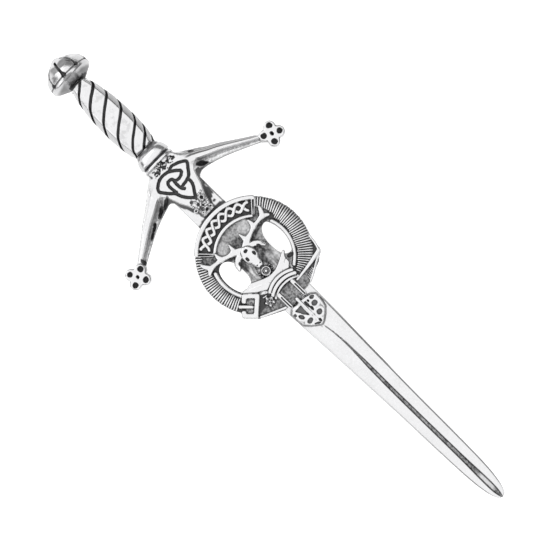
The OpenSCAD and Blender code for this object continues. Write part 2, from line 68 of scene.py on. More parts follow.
SEAM = 0.03
GUARD_T, COLLAR_H = 3.2, 3.3
BLADE_HALF, BLADE_T = 3.2, 1.5
BADGE_DROP, BADGE_R, STRAP_W = 22.65, 10.3, 3.5
PLATE_T, RIM_H = 0.8, 0.6
# Half the spread of the plaited band and the step from rib to rib, in degrees
BAND_HALF, RIB_STEP = 43, 2.7

Z_BACK, Z_BLADE = BLADE_LOW[2], BLADE_HIGH[2]
Z_GUARD = Z_BACK + GUARD_T
Z_PLATE = BADGE_LOW[2] + PLATE_T
Z_RIM = Z_PLATE + RIM_H
Z_STAG = BADGE_HIGH[2]
Y_TIP, Y_BODY = BLADE_LOW[1], BLADE_HIGH[1] + SEAM
Y_COLLAR, Y_TOP = GUARD_HIGH[1], POMMEL_HIGH[1]
Y_GUARD = Y_COLLAR - COLLAR_H
Y_BADGE = Y_GUARD - BADGE_DROP
STRAP_IN, STRAP_MID = BADGE_R - STRAP_W, BADGE_R - STRAP_W / 2

FINE = 1.0
# Grid steps left free round a casting, and the distance that stands for far away
MARGIN, FAR = 3, 5.0
# Steps of the grids before that
POMMEL_GRID, GRIP_GRID, GUARD_GRID, BADGE_GRID, TIP_GRID, PIN_GRID = 0.08, 0.078, 0.09, 0.096, 0.088, 0.15


# Fields of distances


def soft_min(a, b, blend):
    """The smaller of two distances, with a fillet of about blend where they meet."""
    if blend <= 0:
        return np.minimum(a, b)
    h = np.clip(0.5 + 0.5 * (b - a) / blend, 0, 1)
    return b + (a - b) * h - blend * h * (1 - h)


def soft_max(a, b, blend):
    return -soft_min(-a, -b, blend)


def box_of(x, y, z):
    """A box from its two ends along x, y and z, each pair in either order."""
    return np.sort(np.array([x, y, z], float), axis=1).T


class Field:
    """Signed distances on a grid, negative in the metal. A form gives the distances at x, y and z."""

    def __init__(self, low, high, step):
        self.box = (low, high)
        self.step = step * FINE
        self.low = np.array(low, float) - MARGIN * self.step
        count = [math.ceil((h - l) / self.step) + 2 * MARGIN + 1 for l, h in zip(low, high)]
        self.d = np.full(count, FAR, np.float32)
        self.pits = []

    def window(self, box):
        """Slices of the grid points inside a box, and their coordinates."""
        low, high = self.box if box is None else box
        first = [max(0, int((l - o) / self.step)) for l, o in zip(low, self.low)]
        last = [
            max(f + 1, min(n, int((h - o) / self.step) + 2))
            for f, h, o, n in zip(first, high, self.low, self.d.shape)
        ]
        axes = [o + self.step * np.arange(a, b) for o, a, b in zip(self.low, first, last)]
        return tuple(map(slice, first, last)), np.ix_(*axes)

    def join(self, form, blend=0.08, box=None):
        place, (x, y, z) = self.window(box)
        self.d[place] = soft_min(self.d[place], form(x, y, z), blend)

    def carve(self, form, blend=0.05, box=None):
        place, (x, y, z) = self.window(box)
        self.d[place] = soft_max(self.d[place], -form(x, y, z), blend)

    def engrave(self, gap, width, deep, power=1.6, blend=0.04, box=None):
        """Cuts a channel below the present surface; gap gives the distance from its line."""
        place, (x, y, z) = self.window(box)
        below = np.abs(self.d[place])
        half = width(x, y, z) / 2 if callable(width) else width / 2
        channel = (np.abs(gap(x, y, z) / half) ** power + (below / deep) ** power) ** (1 / power)
        self.d[place] = soft_max(self.d[place], (1 - channel) * np.minimum(half, deep), blend)

    def lump(self, centre, radii, blend, hollow=False):
        """Joins a round lump, or carves a round hollow, by its middle and its three radii."""

        def form(x, y, z):
            shape = sum(((v - c) / r) ** 2 for v, c, r in zip((x, y, z), centre, radii))
            return (np.sqrt(shape) - 1) * min(radii)

        reach = np.array(radii) + 0.4
        act = self.carve if hollow else self.join
        act(form, blend, (np.array(centre) - reach, np.array(centre) + reach))

    def flat_back(self, level, blend=0.15):
        """Cuts off what is under a level."""
        z = self.low[2] + self.step * np.arange(self.d.shape[2])
        self.d[...] = soft_max(self.d, level - z, blend)


# Plans: distances in the plane of the pin


def path_gap(x, y, rows):
    """Distance to a path of rows [x, y, half width, top], and the half width and top beside it."""
    found = None
    for a, b in zip(rows[:-1], rows[1:]):
        dx, dy = b[0] - a[0], b[1] - a[1]
        t = np.clip(((x - a[0]) * dx + (y - a[1]) * dy) / (dx * dx + dy * dy), 0, 1)
        gap = np.hypot(x - a[0] - t * dx, y - a[1] - t * dy)
        new = (gap, a[2] + t * (b[2] - a[2]), a[3] + t * (b[3] - a[3]))
        if found is None:
            found = new
        else:
            nearer = gap - new[1] < found[0] - found[1]
            found = tuple(np.where(nearer, n, f) for n, f in zip(new, found))
    return found


def arc_gap(x, y, radius, first, last, centre=(0, 0)):
    """Distance to an arc; first and last are angles in degrees, counterclockwise from +X."""
    dx, dy = x - centre[0], y - centre[1]
    middle, half = math.radians((first + last) / 2), math.radians(abs(last - first) / 2)
    turn = np.arctan2(dy, dx) - middle
    turn = np.abs((turn + math.pi) % (2 * math.pi) - math.pi)
    past = np.maximum(turn - half, 0)
    away = np.hypot(dx, dy)
    return np.hypot(away * np.cos(past) - radius, away * np.sin(past))


def polygon_gap(x, y, points):
    """Signed distance to a polygon, negative inside."""
    near, inside = np.inf, False
    for (ax, ay), (bx, by) in zip(points, points[1:] + points[:1]):
        dx, dy = bx - ax, by - ay
        t = np.clip(((x - ax) * dx + (y - ay) * dy) / (dx * dx + dy * dy), 0, 1)
        near = np.minimum(near, np.hypot(x - ax - t * dx, y - ay - t * dy))
        if ay != by:
            inside = inside ^ (((ay > y) != (by > y)) & (x < dx * (y - ay) / (by - ay) + ax))
    return np.where(inside, -near, near)


def curve(rows, pieces=6):
    """More rows between the given ones, on a smooth curve through them."""
    rows = np.array(rows, float)
    ends = np.vstack([2 * rows[0] - rows[1], rows, 2 * rows[-1] - rows[-2]])
    out = []
    for i in range(1, len(rows)):
        a, b, c, d = ends[i - 1 : i + 3]
        for t in np.arange(pieces) / pieces:
            line = 2 * b + (c - a) * t
            out.append(0.5 * (line + (2 * a - 5 * b + 4 * c - d) * t**2 + (3 * b - a - 3 * c + d) * t**3))
    return np.vstack(out + [rows[-1]])


def lookup(value, rows):
    """Second column of rows at a value of the first, on a smooth curve."""
    rows = curve(rows, 5)
    return np.interp(value, rows[:, 0], rows[:, 1])


def hump(gap, half, z, foot, top, power=2.0):
    """Distance to a raised form: round where power is 2, with flatter sides where it is more."""
    tall = np.maximum(top - foot, 0.05)
    shape = (np.abs(gap / half) ** power + np.abs((z - foot) / tall) ** power) ** (1 / power)
    return (shape - 1) * np.minimum(half, tall)


def slab(plan, z, low, high, edge=0.08):
    """Distance to a plate with the given plan, with rounded edges."""
    return soft_max(soft_max(plan, z - high, edge), low - z, edge)


def grain(x, y, size, seed):
    """Smooth noise from -1 to 1, with grains of about size."""
    table = np.random.RandomState(seed).uniform(-1, 1, (64, 64))
    u, v = np.broadcast_arrays(x / size, y / size)
    i, j = np.floor(u).astype(int), np.floor(v).astype(int)
    p, q = u - i, v - j
    p, q = p * p * (3 - 2 * p), q * q * (3 - 2 * q)
    row = [[table[(i + a) % 64, (j + b) % 64] for b in (0, 1)] for a in (0, 1)]
    near, far = (row[a][0] * (1 - q) + row[a][1] * q for a in (0, 1))
    return near * (1 - p) + far * p


def step_up(value, low, high):
    """0 below low, 1 above high, and a smooth rise between them."""
    t = np.clip((value - low) / (high - low), 0, 1)
    return t * t * (3 - 2 * t)


def within(gap, reach, soft):
    """1 at a gap of 0, and a smooth fall to 0 at reach that starts soft before it."""
    return step_up(reach - gap, 0, soft)


def spot(x, y, centre, size):
    """1 at the centre of an ellipse with those half sizes, 0 past its edge."""
    return within(np.hypot((x - centre[0]) / size[0], (y - centre[1]) / size[1]), 1, 0.45)


def unit(degrees):
    return np.array([math.cos(math.radians(degrees)), math.sin(math.radians(degrees))])


# From a field to a mesh

# Reaches at which the crowding of a surface is read
CLOSE, WIDE = 0.16, 0.42
# Merged blocks: their size in grid steps, and what still counts as flat and as even
BLOCK, FLAT, LEVEL, EVEN = 6, 0.9995, 0.08, 0.025


def running_mean(values, n, axis):
    pad = [(0, 0)] * 3
    pad[axis] = (n + 1, n)
    total = np.cumsum(np.pad(values, pad, mode="edge"), axis=axis)
    size = values.shape[axis]
    upper = np.take(total, range(2 * n + 1, 2 * n + 1 + size), axis)
    return (upper - np.take(total, range(size), axis)) / (2 * n + 1)


def crowding(field, reach):
    """How much of the space within reach of each grid point is metal."""
    share = np.clip(0.5 - field.d / (1.5 * field.step), 0, 1)
    n = max(1, round(reach / field.step))
    for axis in (0, 1, 2):
        share = running_mean(share, n, axis)
    return share


def sample(grid, spots):
    """Values of a grid at spots, given in grid steps."""
    base = np.clip(np.floor(spots).astype(int), 0, np.array(grid.shape) - 2)
    part = spots - base
    out = np.zeros(len(spots))
    for corner in np.ndindex(2, 2, 2):
        weight = np.prod(np.where(corner, part, 1 - part), axis=1)
        out += weight * grid[tuple((base + corner).T)]
    return out


def net_corners(d):
    """One corner in each cell that the surface crosses, in grid steps, and its number by cell."""
    cells = tuple(n - 1 for n in d.shape)
    count = 0
    for c in np.ndindex(2, 2, 2):
        count = count + (d[tuple(slice(o, o + n) for o, n in zip(c, cells))] < 0).astype(np.int8)
    place = np.argwhere((count > 0) & (count < 8))
    number = np.full(cells, -1, np.int64)
    number[tuple(place.T)] = np.arange(len(place))
    values = {c: d[tuple((place + c).T)] for c in np.ndindex(2, 2, 2)}
    total, hits = np.zeros((len(place), 3)), np.zeros(len(place))
    for axis in range(3):
        for c in np.ndindex(2, 2, 2):
            if c[axis]:
                continue
            a, b = values[c], values[tuple(o + (k == axis) for k, o in enumerate(c))]
            crossed = (a < 0) != (b < 0)
            total[crossed] += np.array(c)
            total[:, axis] += np.where(crossed, a / np.where(crossed, a - b, 1), 0)
            hits += crossed
    return place + total / hits[:, None], number


def net(field):
    """Corners, in grid steps, and four-sided faces of the surface where the field is zero."""
    corners, number = net_corners(field.d)
    metal = field.d < 0
    faces = []
    for axis in range(3):
        u, v = (axis + 1) % 3, (axis + 2) % 3
        near = [slice(1, n - 1) for n in metal.shape]
        far = list(near)
        near[axis], far[axis] = slice(0, metal.shape[axis] - 1), slice(1, metal.shape[axis])
        a, b = metal[tuple(near)], metal[tuple(far)]
        for turned, edges in ((False, a & ~b), (True, b & ~a)):
            at = np.argwhere(edges)
            at[:, [u, v]] += 1
            quad = []
            for shift in ((0, 0), (-1, 0), (-1, -1), (0, -1)):
                cell = at.copy()
                cell[:, [u, v]] += shift
                quad.append(number[tuple(cell.T)])
            faces.append(np.stack(quad[::-1] if turned else quad, axis=1))
    return corners, np.vstack(faces)


def halves(faces):
    """Two triangles from each four-sided face."""
    return np.vstack([faces[:, [0, 1, 2]], faces[:, [0, 2, 3]]])


def by_group(group, values):
    """Mean of the values in each group."""
    count = np.bincount(group)
    return np.stack([np.bincount(group, column) / count for column in values.T], axis=1)


def thin_out(corners, faces, values):
    """Merges the corners in each block of the grid where the surface is flat and its values are even."""
    a, b, c, d = (corners[faces[:, k]] for k in range(4))
    across = np.cross(c - a, d - b)
    normal = sum(
        np.stack([np.bincount(faces[:, k], across[:, axis], len(corners)) for axis in range(3)], axis=1)
        for k in range(4)
    )
    normal /= np.maximum(np.linalg.norm(normal, axis=1, keepdims=True), 1e-9)
    group = np.unique(np.floor(corners / BLOCK).astype(int), axis=0, return_inverse=True)[1].ravel()
    middle, facing, mean = (by_group(group, v) for v in (corners, normal, values))
    off = np.abs(np.sum((corners - middle[group]) * facing[group], axis=1)) / LEVEL
    uneven = np.abs(values - mean[group]).max(axis=1) / EVEN
    worst = np.zeros(len(middle))
    np.maximum.at(worst, group, np.maximum(off, uneven))
    merged = ((np.linalg.norm(facing, axis=1) > FLAT) & (worst < 1))[group]
    key = np.where(merged, group, len(middle) + np.arange(len(corners)))
    _, first, number = np.unique(key, return_index=True, return_inverse=True)
    kept = merged[first, None]
    corners = np.where(kept, middle[group[first]], corners[first])
    values = np.where(kept, mean[group[first]], values[first])
    faces = halves(number.ravel()[faces])
    whole = (faces[:, 0] != faces[:, 1]) & (faces[:, 1] != faces[:, 2]) & (faces[:, 2] != faces[:, 0])
    return corners, faces[whole], values


def quads(rows, columns, closed=False):
    """Four-sided faces between rows of corners, each row joined end to end where it is closed."""
    j = np.arange(columns if closed else columns - 1)
    i = np.arange(rows - 1)[:, None] * columns
    k = (j + 1) % columns
    return np.stack([i + j, i + k, i + columns + k, i + columns + j], axis=-1).reshape(-1, 4)


def make_piece(name, node, corners, faces, patina_and_shade, edge, material, slot="pewter"):
    """A mesh object in metres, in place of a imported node, from corners in millimetres."""
    mesh = bpy.data.meshes.new(name)
    mesh.vertices.add(len(corners))
    mesh.vertices.foreach_set("co", (corners * MM).astype(np.float32).ravel())
    mesh.loops.add(faces.size)
    mesh.loops.foreach_set("vertex_index", faces.astype(np.int32).ravel())
    mesh.polygons.add(len(faces))
    mesh.polygons.foreach_set("loop_start", np.arange(0, faces.size, faces.shape[1], dtype=np.int32))
    mesh.update(calc_edges=True)
    mesh.validate()
    mesh.shade_smooth()
    # Per corner: darkness of patina and of painted shade, and how rubbed an edge is.
    for key, values in (("patina_and_shade", patina_and_shade), ("edge", edge)):
        layer = mesh.attributes.new(key, "FLOAT", "POINT")
        layer.data.foreach_set("value", np.asarray(values, np.float32))
    mesh.materials.append(material)
    piece = bpy.data.objects.new(name, mesh)
    bpy.context.scene.collection.objects.link(piece)
    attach(piece, "root")
    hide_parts(node)
    print(name, len(faces), "faces")
    return piece


def cast(name, node, field, stain, material, slot="pewter", bare=None):
    """Skins a field and darkens its hollows, but where they are bare."""
    corners, faces = net(field)
    close, wide = (sample(crowding(field, r), corners) for r in (CLOSE, WIDE))
    places = field.low + corners * field.step
    hollow = np.maximum(step_up(close, 0.6, 0.82), step_up(wide, 0.6, 0.8))
    if bare:
        hollow = hollow * (1 - bare(*places.T))
    # Darkness of the hollows joined with each casting's stain, which holds painted shade too.
    patina_and_shade = np.clip(np.maximum(hollow, stain(*places.T)), 0, 1)
    edge = step_up(0.5 - wide, 0.08, 0.26)
    corners, faces, values = thin_out(corners, faces, np.stack([patina_and_shade, edge], axis=1))
    return make_piece(name, node, field.low + corners * field.step, faces, *values.T, material, slot)


# Pommel

POMMEL_R, POMMEL_L = 4.3, 5.97
POMMEL_Z = Z_BACK + POMMEL_R * 0.36
# Depth below the top, radius
POMMEL_ROWS = [
    [0, 0.1], [0.1, 0.42], [0.25, 0.76], [0.52, 1.2], [0.86, 1.78], [1.38, 2.69], [1.9, 3.3], [2.42, 3.78],
    [2.94, 4.0], [3.3, 4.12], [3.75, 4.21], [4.0, 4.25], [4.5, 4.25], [4.7, 4.19], [4.85, 4.0], [5.1, 3.62],
    [5.45, 2.95], [5.8, 2.3], [5.97, 1.95]
]
# Depths of the upper end of a gore line and of the groove that goes round
GORE_TOP, EQUATOR = 1.1, 3.98
# Number of gore lines, angle of the first and the step between them, in degrees from straight up
GORES, GORE_FIRST, GORE_STEP = 5, -90.5, 41.5


def gore_place(x, z, number):
    """Places across and out along the ray of a gore line."""
    (cos, sin), z = unit(GORE_FIRST + number * GORE_STEP), z - POMMEL_Z
    return x * cos - z * sin, x * sin + z * cos


def dome_form(x, y, z):
    depth = Y_TOP - y
    radius = lookup(depth, POMMEL_ROWS)
    slope = (lookup(depth + 0.05, POMMEL_ROWS) - lookup(depth - 0.05, POMMEL_ROWS)) / 0.1
    side = (np.hypot(x, z - POMMEL_Z) - radius) / np.sqrt(1 + np.clip(slope, -3, 3) ** 2)
    return soft_max(side, np.abs(depth - POMMEL_L / 2) - POMMEL_L / 2, 0.03)


def pommel_stain(x, y, z):
    depth = Y_TOP - y
    # Painted shade on the lower side of the dome, stronger towards its sides.
    under = 0.14 + 0.5 * step_up(np.abs(x), 0.9, 2.2)
    under = under * step_up(depth + 0.15 * grain(x, y, 0.8, 6), 4.75, 5.2)
    ragged = 0.2 * grain(x, y, 0.45, 3) + 0.1 * grain(x, y, 0.2, 7)
    # Painted shadow in the gap between the dome and the grip, as a ragged black band.
    neck = 0.97 * step_up(depth + ragged, 5.64, 5.78) * step_up(z, Z_BACK + 0.3, Z_BACK + 1)
    neck = neck * within(np.abs(x - 0.3), 2.2 + ragged, 0.25)
    smudge = 0.68 * spot(x, depth + 0.5 * ragged, (-0.3, 4.6), (1.3, 0.45))
    streak = 0.88 * spot(x - 0.62 * (depth - 2.6), depth, (1.75, 2.6), (0.28, 0.85))
    patch = 0.3 * grain(x, y, 0.7, 4)
    crown = 0.6 * step_up(depth + patch, 1.3, 1.5) * step_up(-depth + patch, -2.85, -2.65)
    crown = crown * step_up(2.6 - np.abs(x - 0.2), 0.2, 0.9)
    lines = 0
    for k in range(GORES):
        across, ahead = gore_place(x, z, k)
        half = 0.2 + 0.35 * step_up(depth, EQUATOR - 0.9, EQUATOR) + 0.1 * grain(x, y, 0.3, 2)
        line = within(np.abs(across), half, 0.12) * (ahead > 0) * (depth < EQUATOR + 0.05)
        lines = np.maximum(lines, 0.97 * line * step_up(depth, 0.85, 1.1))
    equator = 0.75 * within(np.abs(depth - EQUATOR), 0.16, 0.08)
    return np.maximum.reduce([under, neck, smudge, streak, crown, lines, equator])


def pommel(material):
    """A dome with rolled gores and a groove round it."""
    field = Field(POMMEL_LOW, POMMEL_HIGH, POMMEL_GRID)
    field.join(dome_form, 0)
    for k in range(GORES):

        def meridian(x, y, z):
            across, ahead = gore_place(x, z, k)
            past = np.abs(Y_TOP - y - (EQUATOR + GORE_TOP) / 2) - (EQUATOR - GORE_TOP) / 2
            return np.hypot(np.hypot(across, np.maximum(past, 0)), np.maximum(-ahead, 0))

        def flare(x, y, z):
            return 0.46 + 0.4 * step_up(Y_TOP - y, EQUATOR - 0.7, EQUATOR)

        def dish(x, y, z):
            across, ahead = gore_place(x, z, k + 0.5)
            return np.hypot(np.hypot(across * 0.62, Y_TOP - y - 2.1), np.maximum(-ahead, 0))

        field.engrave(meridian, flare, 0.4)
        field.engrave(dish, 0.9, 0.1, 2, 0.08)
    field.engrave(lambda x, y, z: np.abs(Y_TOP - y - EQUATOR), 0.26, 0.17)
    field.flat_back(Z_BACK)
    return cast("pommel_dome", "pommel", field, pommel_stain, material)


# Grip

GRIP_L, GRIP_T, GRIP_POWER = 16.3, 4.7, 2.4
GRIP_Z = Z_BACK + GRIP_T * 0.4
GRIP_END = Y_COLLAR + GRIP_L
# Height above the collar, half width
GRIP_ROWS = [
    [0, 2.28], [0.4, 2.33], [0.9, 2.53], [1.8, 2.72], [2.7, 2.85], [3.7, 2.95], [5.3, 3.04], [7.1, 3.03],
    [8.8, 2.95], [10.5, 2.85], [12.2, 2.61], [13.2, 2.45], [14, 2.31], [14.9, 2.07], [15.6, 1.83],
    [16.3, 1.75]
]
# Height at which the lowest groove crosses the middle line, and the steps up to the next ones
GROOVE_LOW = -4.86
GROOVE_W, GROOVE_DEEP, GROOVE_POWER = 0.5, 0.44, 1.35
GROOVE_SPACING = [2.5, 2.5, 2.51, 3.37, 3.45, 3.19, 2.76, 2.76, 2.6]
# Share of the half width from the middle, rise of the groove there
GROOVE_RISE = [
    [-1, -3.5], [-0.91, -3.0], [-0.76, -2.24], [-0.59, -1.5], [-0.29, -0.7], [0, 0], [0.29, 0.6],
    [0.59, 1.28], [0.76, 1.81], [0.88, 2.5], [1, 3.3]
]


def grip_section(y):
    """Half width of the grip, and its height over its middle."""
    half = lookup(y - Y_COLLAR, GRIP_ROWS)
    return half, 2.82 * (0.5 + 0.5 * half / 3.05)


def grip_form(x, y, z):
    half, up = grip_section(y)
    tall = np.abs((z - GRIP_Z) / (up * 1.16))
    section = (np.abs(x / half) ** GRIP_POWER + tall**GRIP_POWER) ** (1 / GRIP_POWER)
    flat = z - GRIP_Z - up + 0.06 * (x / 2) ** 2
    ends = np.abs(y - Y_COLLAR - GRIP_L / 2) - GRIP_L / 2 + SEAM
    return soft_max(soft_max((section - 1) * half * 0.85, flat, 0.1), ends, 0.08)


def groove_gap(x, y, z):
    """Distance from the middle of the nearest spiral groove."""
    half, up = grip_section(y)
    crossings = GROOVE_LOW + np.concatenate([[0], np.cumsum(GROOVE_SPACING)])
    flatter = 1 - 0.25 * step_up(y - Y_COLLAR, 9.5, 13.5)
    level = y - Y_COLLAR - lookup(np.clip(x / half, -1, 1), GROOVE_RISE) * flatter
    level = level - 0.8 * np.sign(x) * np.maximum(GRIP_Z + 0.3 * up - z, 0)
    index = np.interp(level, crossings, np.arange(len(crossings)))
    spacing = np.interp(level, crossings[:-1], GROOVE_SPACING)
    steep = 1 / np.hypot(1, 0.75 + 0.9 * np.abs(x / half) ** 4)
    away = np.abs(index - np.round(index)) * spacing * steep
    return np.maximum(away, GRIP_Z - 1.2 - z)


def grip_stain(x, y, z):
    front = z > GRIP_Z
    ragged = 0.2 * grain(x, y, 0.4, 5)
    foot = 0.9 * within(y, Y_COLLAR + 0.42 + ragged, 0.15) * within(np.abs(x), 1.9, 0.4)
    # Painted shadow of the gap under the pommel, across the top end of the grip.
    top = 0.93 * step_up(y + 0.5 * ragged, GRIP_END - 0.62, GRIP_END - 0.46) * front
    # Painted shade on the right side of the grip, and a little on its left edge.
    side = 0.34 * step_up(x, 1.9, 2.4) + 0.1 * step_up(-x, 2.2, 2.5)
    facet = 0.35 + 0.35 * step_up(y - Y_COLLAR, 13.2, 14.4)
    facet = facet * within(np.abs(x - 0.76 * grip_section(y)[0]), 0.11, 0.07) * front
    marks = 0.16 * step_up(grain(x, y, 0.8, 14) + 0.5 * grain(x, y, 0.25, 15), 0.2, 0.9)
    in_groove = 0.95 * within(groove_gap(x, y, z), 0.22, 0.08)
    return np.maximum.reduce([foot, top, side, facet, marks, in_groove])


def grip(material):
    """A swelling grip with spiral grooves."""
    field = Field(GRIP_LOW, GRIP_HIGH, GRIP_GRID)

    def neck_line(x, y, z):
        return np.abs(y - GRIP_END + 0.2) + 0.12 * grain(x, y, 0.4, 19)

    field.join(grip_form, 0)
    field.engrave(groove_gap, GROOVE_W, GROOVE_DEEP, GROOVE_POWER)
    field.engrave(neck_line, 0.36, 0.3, 2)
    field.flat_back(Z_BACK)
    return cast("grip_twist", "grip", field, grip_stain, material)


# Guard

COLLAR_R, COLLAR_POWER = 3.2, 3.2
COLLAR_Z = Z_BACK + COLLAR_R * 0.6
# Depth below the top of the collar, radius
COLLAR_ROWS = [
    [-0.3, 2.15], [0, 2.18], [0.2, 2.22], [0.4, 2.38], [0.6, 2.52], [0.7, 2.54], [0.85, 2.7], [1.1, 2.86],
    [1.6, 3.04], [2.1, 3.14], [2.35, 3.12], [2.5, 2.98], [2.62, 2.7], [2.8, 2.7], [2.9, 2.95], [3.0, 3.1],
    [3.4, 3.14], [3.7, 3.1]
]
HALF_SPAN, ARM_DROP, ARM_W = 17.1, 10.3, 3.8
# Share of the way out, share of the drop, share of the half height, share of the thickness
ARM_ROWS = [
    [0.12, 0.3, 1.05, 1], [0.22, 0.34, 1.04, 1], [0.304, 0.395, 0.97, 0.99], [0.404, 0.474, 0.8, 0.95],
    [0.506, 0.55, 0.7, 0.9], [0.608, 0.64, 0.59, 0.86], [0.708, 0.735, 0.5, 0.82], [0.807, 0.828, 0.43, 0.78],
    [0.895, 0.91, 0.38, 0.74], [0.93, 0.94, 0.37, 0.73]
]
# Share of the half height up from the middle of an arm, share of the height of its ridge
ARM_SECTION = [
    [-1.3, 0.3], [-1, 0.42], [-0.93, 0.5], [-0.8, 0.47], [-0.55, 0.5], [-0.3, 0.62], [-0.1, 0.86], [0, 0.98],
    [0.08, 1], [0.36, 1], [0.44, 0.97], [0.7, 0.74], [0.95, 0.52], [1, 0.46], [1.3, 0.35]
]
# The upper side of the left arm is less steep
LEFT_SECTION = ARM_SECTION[:9] + [[0.36, 1], [0.44, 0.99], [0.7, 0.955], [0.95, 0.91], [1, 0.86], [1.3, 0.7]]
# The left arm is a little shorter than the right one and hangs lower
LEFT_SPAN, LEFT_DROP = 0.97, 1.065
# Directions of the lobes of a terminal, in degrees
LOBES = [63, 153, 243, 333]
LOBE_R, LOBE_OUT, PIT_R, PIT_OUT = 1.1, 1.27, 0.47, 1.45
# The engraved lines of the knot: places beside the middle line and along the sword
KNOT_Y = 23.6
KNOT_W, KNOT_DEEP, KNOT_POWER = 0.5, 0.38, 2.2
KNOT_LINES = [
    [[-3.3, 25.5], [-3.55, 24.9], [-3.15, 24.25], [-2.5, 23.4], [-1.8, 22.7], [-1.45, 21.7], [-0.8, 20.7],
     [0.1, 19.8]],
    [[-3.3, 25.5], [-2.3, 26.15], [-1.3, 26.4], [-0.25, 26.25], [0.45, 25.9], [1.1, 25.4], [1.65, 24.8],
     [1.3, 24.35], [0.6, 24.1], [-0.1, 24.2], [-0.4, 24.6]],
    [[0.35, 26.25], [1.1, 26.5], [1.8, 26.25], [2.65, 25.9], [3.5, 25.2], [2.85, 24.25], [2, 23.25],
     [1.3, 23], [0.6, 22.85], [-0.35, 22.7]],
    [[1.45, 22.9], [1.6, 22.4], [1.3, 21.5], [0.75, 20.7], [0.1, 19.8]],
    [[-0.1, 22.2], [-0.45, 22.7], [-0.5, 23.8], [-0.4, 24.6], [-0.6, 24.95], [-1.2, 25], [-1.6, 24.6],
     [-1.65, 23.75], [-1.55, 22.7]]
]
# Right halves of the body of the guard at its foot and its top: place, depth below the collar
BODY_OUTLINE = [
    [2.94, -0.2], [3.2, 0.45], [4.1, 1.15], [5.2, 1.9], [5.2, 5.95], [4.3, 5.9], [3.46, 6.2], [3.2, 6.75],
    [2.35, 9.0], [1.75, 10.4], [1.5, 11.2], [1.4, 12.2]
]
BODY_TOP = [
    [2.75, -0.1], [3.1, 0.9], [4.1, 1.9], [5.1, 2.95], [5.1, 3.9], [4.0, 4.35], [3.3, 5.1], [2.85, 6.3],
    [2.5, 7.4], [1.75, 8.9], [1.3, 10.1], [1.1, 11.2], [1.15, 12.1]
]
# Casting pits in the arms: place, half length, half width, darkness
SCOOP_PITS = [
    [5.0, 23.25, 0.75, 0.5, 1], [5.6, 22.85, 0.5, 0.26, 0.9], [5.25, 26.0, 0.5, 0.3, 0.9],
    [-6.35, 22.1, 0.55, 0.34, 1], [-5.6, 22.55, 0.6, 0.42, 1], [-4.2, 22.8, 1.1, 0.36, 1],
    [-9.8, 20.6, 0.7, 0.26, 1], [-8.8, 21.2, 0.7, 0.26, 1], [-8.2, 21.65, 0.35, 0.24, 0.9],
    [-14.1, 18.5, 0.34, 0.6, 1]
]
PIT_LEAN = 0.5
# Dark places on the shoulders of the guard: place, half width, darkness
SHOULDER_MARKS = [
    [[-2.8, 28.2, 0.2, 0.8], [-2.75, 27.5, 0.3, 0.9]],
    [[2.6, 28.3, 0.16, 0.6], [3.45, 26.9, 0.26, 0.75], [4.8, 25.8, 0.18, 0.5]]
]
# Small rings cast on the tongue: place, radius of the middle line
TONGUE_RINGS = [
    [-1.5, 18.1, 0.28], [0.85, 19.1, 0.4], [0.03, 16.95, 0.36], [0.9, 16.95, 0.26], [-0.75, 17.0, 0.2]
]
# Dark lines painted along the upper side of an arm, as painted shade where its facets meet: share of the half
# height, darkness
ARM_LINES = [[0.68, 0.7], [0.86, 0.6], [1.02, 0.6]]


def mirrored_gap(x, y, half):
    """Signed distance to a polygon given by its right half, in rows of x and depth below the collar."""
    right = [(px, Y_GUARD - depth) for px, depth in half]
    return polygon_gap(x, y, right + [(-px, py) for px, py in right[::-1]])


def collar_form(x, y, z):
    depth = Y_COLLAR - y
    reach = (np.abs(x) ** COLLAR_POWER + np.abs(z - COLLAR_Z) ** COLLAR_POWER) ** (1 / COLLAR_POWER)
    side = reach - lookup(depth, COLLAR_ROWS)
    return soft_max(side * 0.8, np.abs(depth - COLLAR_H / 2 - 0.05) - COLLAR_H / 2 - 0.05, 0.06)


def body_form(x, y, z):
    low, top = mirrored_gap(x, y, BODY_OUTLINE), mirrored_gap(x, y, BODY_TOP)
    share = np.clip((Z_GUARD - z) / (GUARD_T * 0.53), 0, 1)
    return slab((top + (low - top) * share) * 0.85, z, Z_BACK - 1, Z_GUARD, 0.1)


def arm_place(x, y):
    """Share of the half height up from an arm's middle, distance from its edge, and its height there."""
    left = x < 0
    x = np.where(left, -x / LEFT_SPAN, x)
    y = np.where(left, Y_GUARD + (y - Y_GUARD) / LEFT_DROP, y)
    rows = curve([
        [out * HALF_SPAN, Y_GUARD - drop * ARM_DROP, half * ARM_W / 2, tall * GUARD_T]
        for out, drop, half, tall in ARM_ROWS
    ], 3)
    gap, half, tall = path_gap(x, y, rows)
    share = np.sign(y - np.interp(x, rows[:, 0], rows[:, 1])) * gap / half
    return share, gap - half, tall


def arm_form(x, y, z):
    share, past, tall = arm_place(x, y)
    right, left = (np.interp(share, *curve(rows, 4).T) for rows in (ARM_SECTION, LEFT_SECTION))
    return soft_max(past, (z - Z_BACK - tall * np.where(x < 0, left, right)) * 0.72, 0.1)


def terminal_place(x, y):
    """Places round the middle of the nearer terminal."""
    span, drop = (np.where(x < 0, share, 1) for share in (LEFT_SPAN, LEFT_DROP))
    return np.abs(x) - HALF_SPAN * span, y - Y_GUARD + ARM_DROP * drop


def terminal_form(x, y, z):
    x, y = terminal_place(x, y)
    top = Z_BACK + 0.1 + GUARD_T * 0.78
    out = hump(np.hypot(x, y), 1.7, z, Z_BACK, top - 0.04, 10)
    for cos, sin in map(unit, LOBES):
        gap = np.hypot(x - LOBE_OUT * cos, y - LOBE_OUT * sin)
        out = soft_min(out, hump(gap, LOBE_R, z, Z_BACK, top, 9), 0.12)
    return out


